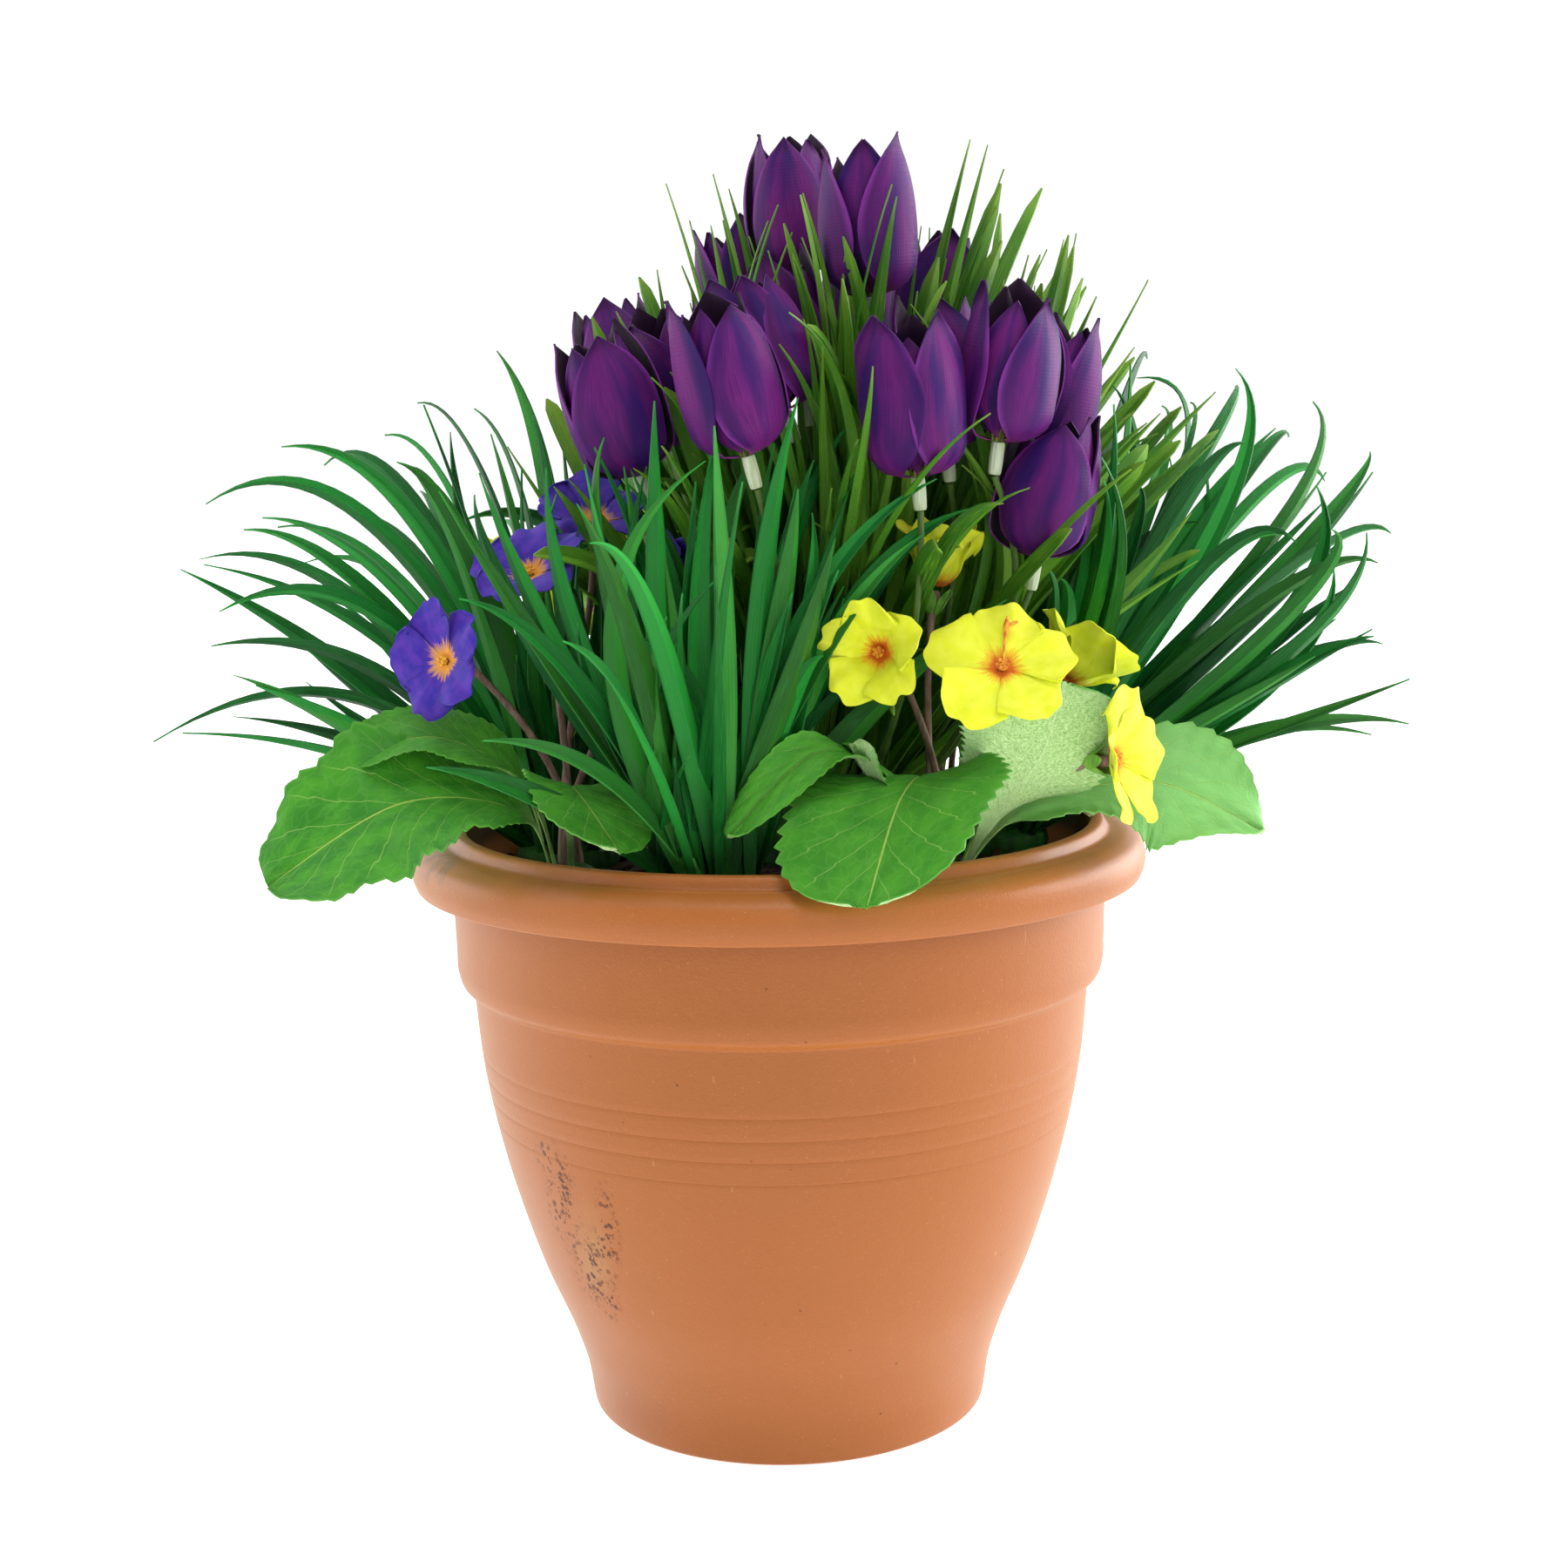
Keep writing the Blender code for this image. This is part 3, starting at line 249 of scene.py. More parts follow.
def turned(profile, sides, turn=0.0):
    """Turns an outline that runs from axis to axis, bottom to top on the outside."""
    points, rings = [], []
    for radius, height in profile:
        if radius == 0:
            rings.append([len(points)])
            points.append((0, 0, height))
            continue
        rings.append(range(len(points), len(points) + sides))
        for side in range(sides):
            angle = turn + math.tau * side / sides
            points.append((radius * math.cos(angle), radius * math.sin(angle), height))
    faces = []
    for low, high in zip(rings, rings[1:]):
        for side in range(sides):
            after = (side + 1) % sides
            if len(low) == 1:
                faces.append((low[0], high[after], high[side]))
            elif len(high) == 1:
                faces.append((low[side], low[after], high[0]))
            else:
                faces.append((low[side], low[after], high[after], high[side]))
    return points, faces


def wall_inside(height):
    """Inner radius of the pot at a height, up to the shoulder."""
    for (z0, r0), (z1, r1) in zip(BELL, BELL[1:]):
        if height <= z1:
            return r0 + (r1 - r0) * (height - z0) / (z1 - z0) - WALL
    return BELL[-1][1] - WALL


def pot_outline():
    outside = [(0, 0), (FOOT_R - 1.5, 0), (FOOT_R, 1.5)]
    outside += [(radius, height) for height, radius in BELL]
    band = [(126.8, 180), (131.0, 182.6), (132.8, 188.5), (BAND_R, 222)]
    under_lip = [(134.0, 233), (139.5, 236), (144.3, 229), (145.3, 222.8)]
    lip = [(147.2, 222.4), (149.6, 226.5), (LIP_R, 231), (147.4, 236.8), (140.5, 240.2),
           (133.2, 240.2), (130.6, POT_HEIGHT), (MOUTH_R, 244.4)]
    inside = [(MIX_TOP_R + 0.7, 228), (MIX_TOP_R + MIX_GAP, 194), (SHOULDER_R, 176)]
    inside += [(wall_inside(height), height) for height in (118, 63, 33, FLOOR + 6)]
    inside += [(FLOOR_R, FLOOR), (0, FLOOR)]
    return outside + band + under_lip + lip + inside


def bowed(start, pull, end, t):
    """The point at share t of a line from start to end that is drawn towards a third point."""
    return start * (1 - t) ** 2 + pull * 2 * t * (1 - t) + end * t * t


def curve_through(root, tip, bow, count):
    """Points along a bowed line; bow is how far its middle stands off the straight chord."""
    root, tip = Vector(root), Vector(tip)
    pull = (root + tip) / 2 + 2 * Vector(bow)
    return [bowed(root, pull, tip, index / (count - 1)) for index in range(count)]


def level_way(x, y, otherwise=(1, 0, 0)):
    """Level direction of x and y, or another one where they are too small to tell."""
    way = Vector((x, y, 0))
    return way.normalized() if way.length > 1 else Vector(otherwise)


def square_to(way):
    """Two directions that are square to a way and to each other."""
    first = (Vector((1, 0, 0)) - way.x * way).normalized()
    return first, way.cross(first)


def tangents(line):
    last = len(line) - 1
    return [(line[min(i + 1, last)] - line[max(i - 1, 0)]).normalized() for i in range(last + 1)]


def side_of(line, twist):
    """Level direction across a leaf, turned about the leaf by twist radians."""
    run = line[-1] - line[0]
    across = level_way(run.x, run.y).cross(UP)
    return [Quaternion(way, twist) @ (across - across.dot(way) * way).normalized()
            for way in tangents(line)]


def skin(points, bottom, sides, others=()):
    """Faces of a strip of equal rings that ends in a point.

    Sides and others are pairs of corners next to each other in a ring, which differ in the way
    their faces are cut in two.
    """
    ring = len(sides) + len(others)
    top = len(points) - 1 - ring
    faces = list(bottom)
    for low in range(0, top, ring):
        high = low + ring
        for a, b in sides:
            faces += [(low + a, low + b, high + b), (low + a, high + b, high + a)]
        for a, b in others:
            faces += [(low + a, low + b, high + a), (low + b, high + b, high + a)]
    return faces + [(top + a, top + b, len(points) - 1) for a, b in (*sides, *others)]


def blade(line, width, twist, grow=0.0):
    """A three-sided blade: flat above, with a keel below, running to a point."""
    sides = side_of(line, twist)
    ways = tangents(line)
    points = []
    for here, side, way, share in zip(line[:-1], sides, ways, BLADE_WIDTHS):
        face = side.cross(way)
        half = width * share / 2 + grow
        keel = BLADE_KEEL[0] + BLADE_KEEL[1] * width * share + grow
        top = face * (BLADE_TOP + grow)
        points += [here - side * half + top, here - face * keel, here + side * half + top]
    points.append(line[-1] + ways[-1] * grow)
    return points, skin(points, [(0, 1, 2)], ((1, 0), (2, 1), (0, 2)))


def tube(line, radii, sides):
    """A round stem through the points of a line, closed at both ends."""
    points = []
    for here, way, radius in zip(line, tangents(line), radii):
        first, second = square_to(way)
        for side in range(sides):
            angle = math.tau * side / sides
            points.append(here + (first * math.cos(angle) + second * math.sin(angle)) * radius)
    rings = [range(n * sides, (n + 1) * sides) for n in range(len(line))]
    faces = [tuple(reversed(rings[0])), tuple(rings[-1])]
    for low, high in zip(rings, rings[1:]):
        for side in range(sides):
            after = (side + 1) % sides
            faces.append((low[side], low[after], high[after], high[side]))
    return points, faces


class Room:
    """Remembers the solids already placed, to tell whether a new one would touch them."""

    def __init__(self):
        self.placed = []

    @staticmethod
    def box(points):
        low = [min(p[axis] for p in points) for axis in range(3)]
        high = [max(p[axis] for p in points) for axis in range(3)]
        return low, high

    def add(self, owner, shape):
        points, faces = shape
        tree = BVHTree.FromPolygons(points, faces, epsilon=0.0)
        self.placed.append((owner, self.box(points), tree))

    def hits(self, shape, skip=None, only=None):
        points, faces = shape
        low, high = self.box(points)
        tree = None
        for owner, (other_low, other_high), other in self.placed:
            if owner == skip or (only is not None and owner != only):
                continue
            if any(low[n] > other_high[n] or high[n] < other_low[n] for n in range(3)):
                continue
            if tree is None:
                tree = BVHTree.FromPolygons(points, faces, epsilon=0.0)
            if tree.overlap(other):
                return owner
        return None


def petal(axis, foot, heading, outline, lean):
    """A cupped petal, thick along its middle and sharp at its edges."""
    first, second = square_to(axis)

    def place(angle, radius, height):
        out = first * math.cos(angle) + second * math.sin(angle)
        return foot + axis * height + out * radius

    points = []
    for height, radius, half in outline[:-1]:
        spread = half / max(radius, BLOOM_CUP[2][0])
        points += [place(heading - spread, radius, height),
                   place(heading, radius + PETAL_HALF, height),
                   place(heading + spread, radius, height),
                   place(heading, radius - PETAL_HALF, height)]
    height, radius, _ = outline[-1]
    points.append(place(heading + lean, radius, height))
    return points, skin(points, [(3, 2, 1, 0)], ((0, 1), (2, 3)), ((1, 2), (3, 0)))


def bloom_shapes(foot, tip, turn):
    foot, tip = Vector(foot), Vector(tip)
    length = (tip - foot).length
    axis = (tip - foot).normalized()
    points, faces = turned(BLOOM_CUP, 6, math.radians(turn))
    spin = UP.rotation_difference(axis)
    shapes = [([spin @ Vector(p) + foot for p in points], faces)]
    for number in range(6):
        heading = math.radians(turn + 60 * number)
        outline = OUTER_PETAL if number % 2 == 0 else INNER_PETAL
        sized = [(height * length, radius * BLOOM_R, half * BLOOM_R)
                 for height, radius, half in outline]
        shapes.append(petal(axis, foot, heading, sized, PETAL_LEAN))
    return shapes


def merged(shapes):
    """Lists several solids as one set of points and faces."""
    points, faces = [], []
    for more_points, more_faces in shapes:
        start = len(points)
        points += more_points
        faces += [tuple(index + start for index in face) for face in more_faces]
    return points, faces


def stem_line(crown, foot, tip, sway, steps):
    """Line of a tulip stem from the crown, then the line of the sleeve at its top."""
    foot = Vector(foot)
    axis = (Vector(tip) - foot).normalized()
    top = foot - axis * CLEAR
    neck = top - axis * SLEEVE_LENGTH
    heading = Vector((foot.x - crown[0], foot.y - crown[1], 0))
    reach = min(heading.length, 100) / 100
    out = level_way(heading.x, heading.y)
    root = Vector((crown[0], crown[1], ROOT_Z)) + out * (TULIP_ROOT_R[0] + TULIP_ROOT_R[1] * reach)
    span = (neck - root).length
    pull = neck - axis * span * 0.45 + Vector(sway)
    line = [bowed(root, pull, neck, step / steps) for step in range(steps)]
    return line + [neck - axis * 0.6], [neck, top]


def stem_shape(crown, foot, tip, sway):
    """The plain solid of a tulip stem, thicker where the sleeve covers its top."""
    line, sleeve = stem_line(crown, foot, tip, sway, 3)
    return tube(line + sleeve, [STEM_R] * 4 + [SLEEVE_R] * 2, STEM_SIDES)


def try_blade(room, owner, line, width, twist, others_only):
    """Tells whether a blade is free of other plants and, unless only they count, of its own."""
    grown = blade(line, width, twist, TEST_CLEAR)
    if room.hits(grown, skip=owner):
        return False
    if others_only:
        return True
    return not room.hits(blade(line, width, twist), only=owner)


def place_blades(room, draw, owner, crown, wanted, width_range, may_cross=False):
    """Places each wanted blade, bending it little by little until it is clear."""
    x, y, radius, _ = crown
    placed = []
    for target in wanted:
        tip_x, tip_y, tip_z, bow_x, bow_z = target
        out = level_way(tip_x - x, tip_y - y, (0, -1, 0))
        across = out.cross(UP)
        width = draw.uniform(*width_range)
        for attempt in range(BLADE_ATTEMPTS):
            loose = BLADE_STEP * attempt
            root = Vector((x, y, ROOT_Z)) + out * radius * draw.uniform(0, BLADE_ROOTS[0])
            root += across * radius * draw.uniform(-BLADE_ROOTS[1], BLADE_ROOTS[1])
            stray = Vector([draw.uniform(*span) for span in TIP_STRAY])
            tip = Vector((tip_x, tip_y, tip_z)) + stray * loose
            bow = Vector((bow_x, 0, bow_z)) + across * draw.uniform(*BOW_STRAY[0]) * loose
            bow.z += draw.uniform(*BOW_STRAY[1]) * loose
            twist = draw.choice((-1, 1)) * math.radians(draw.uniform(*BLADE_TWIST))
            line = curve_through(root, tip, bow, BLADE_POINTS)
            if try_blade(room, owner, line, width, twist, may_cross or attempt >= CLEAR_OF_OWN):
                placed.append((root, tip, bow, width, twist))
                room.add(owner, blade(line, width, twist))
                break
    return placed


def drawn_blades(draw, crown, count, headings, reach_range, height_range):
    """Further blades that fan out from a crown, as listed blades are given."""
    x, y, _, _ = crown
    middle, spread = headings
    wanted = []
    for number in range(count):
        share = (number + 0.5) / count * 2 - 1
        angle = math.radians(middle + spread * share + draw.uniform(-HEADING_STRAY, HEADING_STRAY))
        lean = (number * GOLDEN) % 1
        reach = reach_range[0] + (reach_range[1] - reach_range[0]) * lean
        height = height_range[1] - (height_range[1] - height_range[0]) * lean
        height += draw.uniform(-RISE_STRAY, RISE_STRAY)
        tip = (x + reach * math.cos(angle), y + reach * math.sin(angle), CROWN_TOP_Z + height)
        wanted.append((*tip, 0, RISE_BOW[0] + RISE_BOW[1] * lean))
    return wanted


def leaf_line(knots, shares):
    """Points of a smooth line through a leaf's knots, at shares of its length."""
    spans = len(knots) - 1
    line = []
    for share in shares:
        place = share * spans
        index = min(int(place), spans - 1)
        t = place - index
        before = knots[max(index - 1, 0)]
        start, end = knots[index], knots[index + 1]
        after = knots[min(index + 2, spans)]
        line.append(0.5 * ((2 * start) + (end - before) * t
                           + (2 * before - 5 * start + 4 * end - after) * t * t
                           + (3 * start - before - 3 * end + after) * t ** 3))
    return line


def leaf(knots, width, twist, grow=0.0):
    """The plain solid of a primrose leaf: a stalk that widens into a notched, cupped blade."""
    line = leaf_line(knots, [share for share, _ in LEAF_ROWS] + [1.0])
    ways = tangents(line)
    points = []
    for (place, share), here, side, way in zip(LEAF_ROWS, line, side_of(line, 0), ways):
        side = Quaternion(way, twist * min(1, 1.5 * place)) @ side
        face = side.cross(way)
        half = width * share / 2 + grow
        cup = face * (LEAF_CUP * half)
        points += [here - side * half + cup, here + face * (LEAF_HALF + grow),
                   here + side * half + cup, here - face * (LEAF_HALF + grow)]
    points.append(line[-1] + ways[-1] * grow)
    return points, skin(points, [(0, 3, 2), (0, 2, 1)], ((0, 1), (2, 3)), ((1, 2), (3, 0)))


def flower_shape(middle, facing, radius, turn):
    """A five-petalled flower: a shallow funnel with notched, waved petals."""
    facing = Vector(facing).normalized()
    spin = UP.rotation_difference(facing)
    rim = []
    for number in range(5):
        for step, share, lift in FLOWER_RIM:
            rim.append((math.radians(turn + 72 * number + step), share * radius, lift))
    count = len(rim)
    bowl, bowl_lift = FLOWER_BOWL
    points = [(0, 0, -0.4), (0, 0, -FLOWER_DEPTH)]
    for angle, reach, _ in rim:
        points.append((bowl * reach * math.cos(angle), bowl * reach * math.sin(angle), bowl_lift))
    for angle, reach, lift in rim:
        points.append((reach * math.cos(angle), reach * math.sin(angle), lift))
    faces = []
    for n in range(count):
        m = (n + 1) % count
        top_n, top_m = 2 + n, 2 + m
        rim_n, rim_m = 2 + count + n, 2 + count + m
        faces += [(0, top_n, top_m), (1, rim_m, rim_n)]
        faces += [(top_n, rim_n, rim_m), (top_n, rim_m, top_m)]
    return [spin @ Vector(p) + Vector(middle) for p in points], faces


def flower_stem_line(crown, middle, facing, turn, steps):
    """Line of a flower stem from the crown, then the line of the calyx behind the flower."""
    facing = Vector(facing).normalized()
    top = Vector(middle) - facing * (FLOWER_DEPTH + CLEAR)
    neck = top - facing * CALYX_LENGTH
    angle = math.radians(turn)
    root = Vector((crown[0], crown[1], ROOT_Z))
    root += Vector((math.cos(angle), math.sin(angle), 0)) * FLOWER_ROOT_R
    span = (neck - root).length
    pull_low = root + UP * span * 0.45
    pull_high = neck - facing * span * 0.22 - UP * span * 0.12
    line = []
    for step in range(steps):
        t = step / steps
        line.append(root * (1 - t) ** 3 + pull_low * 3 * t * (1 - t) ** 2
                    + pull_high * 3 * t * t * (1 - t) + neck * t ** 3)
    return line + [neck], [top - facing * 4, top]


def flower_stem(crown, middle, facing, turn):
    line, calyx = flower_stem_line(crown, middle, facing, turn, 4)
    return tube(line + calyx, [FLOWER_STEM_R] * 5 + [CALYX_R, CALYX_R * 0.72], STEM_SIDES)


def place_tulip_stems(room, draw):
    """Stems of the tulips with their sleeves, on one crown."""
    owner = "tulip_greens"
    stems = []
    for foot, tip, _ in TULIPS:
        for attempt in range(STEM_ATTEMPTS):
            loose = STEM_STEP * attempt
            sway = [draw.uniform(-1, 1) * loose, draw.uniform(-1, 1) * loose, 0]
            shape = stem_shape(TULIP_CROWN, foot, tip, sway)
            if not room.hits(shape, skip=owner):
                break
        stems.append((foot, tip, sway))
        room.add(owner, shape)
    return stems


def stalk_heading(number):
    return STALK_TURN[0] + STALK_TURN[1] * number


def place_flower_stems(room, name):
    _, crown, flowers, _ = PRIMROSES[name]
    for number, (middle, facing) in enumerate(flowers):
        room.add(name, flower_stem(crown, middle, facing, stalk_heading(number)))


def place_leaves(room, name):
    """Places each leaf of a primrose plant, shifting it little by little until it is clear."""
    _, crown, _, leaves = PRIMROSES[name]
    draw = random.Random(name)
    placed = []
    for points_along, width, tilt in leaves:
        knots = [Vector(p) for p in points_along]
        out = Vector((knots[0].x - crown[0], knots[0].y - crown[1], 0)).normalized()
        root = Vector((crown[0], crown[1], ROOT_Z)) + out * crown[2] * LEAF_ROOT_R
        for attempt in range(LEAF_ATTEMPTS):
            loose = LEAF_STEP * attempt
            bent = [root] + [knot + Vector([draw.uniform(-1, 1) * loose for _ in range(3)])
                             for knot in knots]
            twist = math.radians(tilt + draw.uniform(-LEAF_TURN, LEAF_TURN))
            if not room.hits(leaf(bent, width, twist, TEST_CLEAR), skip=name):
                placed.append((bent, width, twist))
                room.add(name, leaf(bent, width, twist))
                break
    return placed


# Camera: lens and sensor in millimetres, place in metres, degrees that it looks down and leans
CAMERA_LENS = (54.0, 36.0)
CAMERA_PLACE = (0.0026, -0.9539, 0.4027)
CAMERA_DOWN = 8.62
CAMERA_LEAN = -1.15
CAMERA_SEES = (0.05, 50)

# Light: places and sizes in metres
LAMPS = {  # place, size, watts
    "right_lamp": ((1.9, 0.25, 0.8), 1.1, 21),
    "left_lamp": ((-1.9, 0.1, 0.8), 1.1, 7),
    "right_back_lamp": ((1.6, 1.15, 0.6), 1.5, 18),
    "left_back_lamp": ((-1.6, 1.15, 0.6), 1.5, 3),
    "top_lamp": ((0.3, -0.5, 2.1), 1.2, 11),
    "front_lamp": ((0.7, -2.0, 1.2), 1.0, 8),
}
LAMP_AIM = Vector((0, 0, 0.25))
WORLD_LIGHT = (0.20, 1.45)  # strength in front, behind
WORLD_FADE = (-0.85, 0.35)  # where the one begins to turn into the other, and where it ends
ROOM_R = 8
ROOM_FLOOR = (7.9, -0.0002)  # radius, height
FLOOR_GLOW = 0.75

# What is finer here than in the model

# Where dirt specks cling to the pot: middle of each run and its half size, in metres
DIRT_RUNS = [
    ((-0.087, -0.078, 0.108), (0.010, 0.03, 0.034)), ((-0.077, -0.081, 0.078), (0.013, 0.03, 0.026)),
    ((-0.068, -0.086, 0.100), (0.007, 0.03, 0.032)), ((-0.069, -0.083, 0.066), (0.006, 0.03, 0.014)),
    ((-0.093, -0.073, 0.127), (0.006, 0.03, 0.009)),
]
UPRIGHT_GRAIN = (1, 1, 0.2)  # how grain that runs up a piece is stretched

SPIN_STEPS = 144
BELL_STEPS = 60
ARC_STEPS = 5  # in a rounded corner of the pot's outline
ENGRAVED_LINES = (126.5, 135.5, 144.0, 153.0)
LINE_HALF = 0.4
LINE_DEPTH = 0.16
MIX_FINE_SIDES = 120
CHIP_COUNT = 520
CHIP_RING = 122  # millimetres from the middle

# Grass: full width of a folded blade against that of its plain solid, number of blades added
# beside others, and further blades given as above
FINER_GRASS = {
    "grass_tuft_left": (0.96, 5, [
        (-105, -45, 345, 0, 20), (-90, -50, 362, 0, 20), (-112, -30, 330, 0, 20),
        (-80, -40, 345, 5, 20), (-98, -55, 318, -5, 15), (-70, -45, 372, 5, 20),
        (-62, -50, 350, 5, 20), (-84, -30, 385, 0, 20), (-69, -38, 345, 5, 20),
        (-66, -28, 330, 5, 15), (-76, -24, 362, 0, 20), (-58, -36, 338, 5, 15),
        (-71, -30, 380, 0, 5), (-67, -20, 374, 0, 5), (-73, -44, 368, 0, 5),
    ]),
    "grass_tuft_front": (1.15, 44, []),
    "grass_tuft_right": (1.12, 30, [
        (112, -97, 396, 10, 20), (100, -92, 372, 5, 20), (126, -88, 410, 10, 20),
        (118, -80, 382, 10, 20),
    ]),
    "grass_tuft_back": (1.1, 26, []),
}
TULIP_LEAF_WIDER = 1.2
MORE_TULIP_LEAVES = 200
# The hull round a bloom that finer blades stay clear of: shares of its length, of its radius
GUARD_KEYS = [(0.02, 0.35), (0.14, 0.95), (0.35, 1.12), (0.70, 1.10), (0.90, 0.98), (1.04, 0.75)]
GUARD_SIDES = 10
ASIDE_ATTEMPTS = 26
ASIDE_STEP = 0.28   # millimetres that each further attempt shifts a blade
ASIDE_WIDTH = 1.15  # share of its width that is kept clear
FINE_LEAF_WIDTH = (4.5, 9.5)
LOW_LEAF_COUNT = 30
LOW_LEAF_HEADINGS = [(190, 55), (285, 60), (20, 60)]  # degrees: middle and half spread
LOW_LEAF_REACH_RISE = ((45, 105), (50, 120))          # from the crown outwards, and upwards
# Blades beside others: spread of the tip, how much lower it is, share of the other's bow
NEAR_GRASS = (16, (-12, 55), (0.1, 0.9))
NEAR_TULIP_LEAVES = (22, (-10, 70), (0.4, 1.2))
# Leaves that stand in front of the blooms and between them, given as the blades above
FRONT_TULIP_LEAVES = [
    (16, -64, 488, 8, 20), (46, -66, 489, -12, 20), (13, -90, 442, 8, 30), (8, -66, 467, 10, 25),
    (15, -94, 433, 5, 35), (-6, -90, 442, 8, 30), (55, -120, 441, 20, 30), (66, -116, 443, 18, 30),
    (75, -96, 451, 10, 30), (40, -124, 419, 5, 30), (102, -116, 420, 10, 30),
    (139, -44, 409, 10, 25), (140, -64, 404, 10, 25), (132, -74, 382, 12, 30),
    (93, -118, 390, 10, 35), (78, -126, 385, 5, 35), (-93, -50, 422, -5, 30),
    (29, -116, 399, 5, 35), (49, -120, 368, 5, 30), (23, -114, 381, 0, 30), (64, -114, 362, 0, 30),
    (-29, -114, 410, -5, 30), (-46, -96, 391, -5, 30), (-74, -94, 415, -5, 35),
    (-68, -90, 405, -5, 35), (-43, -14, 453, 0, 20), (-60, 0, 450, 0, 25), (92, -6, 486, 10, 15),
    (83, 6, 512, 0, 15), (112, 40, 471, 5, 15), (131, 40, 460, 5, 15), (120, -40, 430, 8, 20),
    (-20, 0, 480, 0, 15), (-70, -30, 430, -5, 20), (150, -20, 420, 10, 20), (60, -20, 480, 0, 15),
    (88, -100, 402, 10, 25), (104, -98, 392, 10, 25), (119, -92, 400, 10, 25), (98, -104, 374, 5, 25),
    (112, -102, 382, 5, 25), (150, -50, 405, 15, 25), (160, -30, 395, 15, 25), (142, -70, 385, 15, 25),
    (104, 20, 328, 5, 12), (112, 32, 320, 5, 12), (100, 8, 322, 5, 12), (98, 44, 314, 5, 12),
]
MOST_BLADES = 260     # in one piece, which keeps it under 200,000 triangles
TIP_HOOK = (1, 6)     # millimetres that a blade's tip strays
HOOK_FROM = 0.60      # share of the length
BLADE_TURN = 22       # degrees that a blade may turn from root to tip
FIXED_TURN = 18       # degrees that it turns further the way that it is twisted
GRASS_FOLD = 0.50     # rise of a blade's edges as a share of its half width
TULIP_FOLD = 0.55

# Shares of a blade's length, then shares of its full width
GRASS_OUTLINES = [
    [(0, 0.50), (0.12, 0.78), (0.26, 0.98), (0.40, 1.0), (0.56, 0.84), (0.70, 0.60), (0.82, 0.34),
     (0.91, 0.15), (0.96, 0.06), (1, 0.02)],
    [(0, 0.46), (0.15, 0.78), (0.32, 0.98), (0.50, 0.95), (0.68, 0.72), (0.82, 0.42), (0.92, 0.18),
     (0.97, 0.07), (1, 0.02)],
]
TULIP_OUTLINES = [
    [(0, 0.5), (0.2, 0.88), (0.4, 1.0), (0.6, 0.78), (0.76, 0.46), (0.88, 0.20), (0.95, 0.08),
     (1, 0.02)],
    [(0, 0.5), (0.2, 0.80), (0.45, 1.0), (0.64, 0.86), (0.80, 0.54), (0.91, 0.24), (0.97, 0.08),
     (1, 0.02)],
    [(0, 0.5), (0.25, 0.85), (0.55, 1.0), (0.8, 0.94), (0.93, 0.66), (0.985, 0.34), (1, 0.08)],
]

# Outlines of rods: share of the length, then share of the radius
CROWN_KEYS = [(0, 0.80), (0.5, 0.92), (0.8, 1.0), (0.92, 0.88), (1.0, 0.45)]
STEM_KEYS = [(0, 1.0), (0.5, 0.72), (1, 0.66)]
SLEEVE_KEYS = [(0, 0.82), (0.04, 0.94), (0.10, 0.96), (0.9, 1.0), (1, 0.96)]
STAMEN_KEYS = [(0, 0.5), (0.6, 0.5), (0.72, 1.0), (0.94, 0.9), (1, 0.3)]
EYE_KEYS = [(0, 0.3), (0.5, 0.9), (0.9, 1.0), (1, 0.55)]
EYE_STAMEN_KEYS = [(0, 0.35), (0.45, 0.3), (0.6, 1.0), (0.9, 1.0), (1, 0.4)]
STALK_KEYS = [(0, 1.25), (0.1, 1.0), (0.5, 0.85), (0.9, 0.85), (1, 1.0)]
CALYX_KEYS = [(0, 0.45), (0.5, 0.7), (1, 0.5)]

# Patterns that pieces are bent from: columns and rows of a sheet, sides and rows of a rod
BLADE_SHEET = (6, 22)
TULIP_PETAL_SHEET = (10, 18)
PETAL_SHEET = (24, 14)
SEPAL_SHEET = (6, 10)
LEAF_SHEET = (14, 104)
CROWN_ROD = (48, 8)
STEM_ROD = (10, 14)
HEART_ROD = (8, 6)
EYE_ROD = (12, 6)
STYLE_ROD = (8, 10)
# Points of the lines that they are bent along
FINE_BLADE_POINTS = 33
STEM_POINTS = 24
LEAF_POINTS = 41

# Least angle of an edge that stays sharp, in degrees
PLAIN_CREASE = 40
POT_CREASE = 28
BLADE_CREASE = 22
CLOTH_CREASE = 60

# Thickness in metres
GRASS_THICK = 0.0007
CLOTH_THICK = 0.0006  # tulip petals, all leaves
PETAL_THICK = 0.0004  # primroses

# Tulip petals: share of the pattern, height, distance from the axis, half width
OUTER_KEYS = [
    (0, 0.00, 0.16, 0.16), (0.06, 0.03, 0.52, 0.52), (0.16, 0.12, 0.86, 0.86),
    (0.34, 0.32, 1.00, 1.08), (0.52, 0.52, 1.00, 1.10), (0.68, 0.70, 0.93, 0.95),
    (0.82, 0.86, 0.82, 0.68), (0.92, 0.96, 0.73, 0.38), (0.97, 1.01, 0.71, 0.16),
    (1, 1.05, 0.72, 0.01),
]
INNER_KEYS = [
    (0, 0.02, 0.10, 0.08), (0.10, 0.08, 0.42, 0.34), (0.25, 0.22, 0.74, 0.64),
    (0.50, 0.46, 0.84, 0.90), (0.70, 0.68, 0.78, 0.80), (0.86, 0.86, 0.66, 0.52),
    (0.95, 0.95, 0.58, 0.24), (1, 1.00, 0.56, 0.01),
]

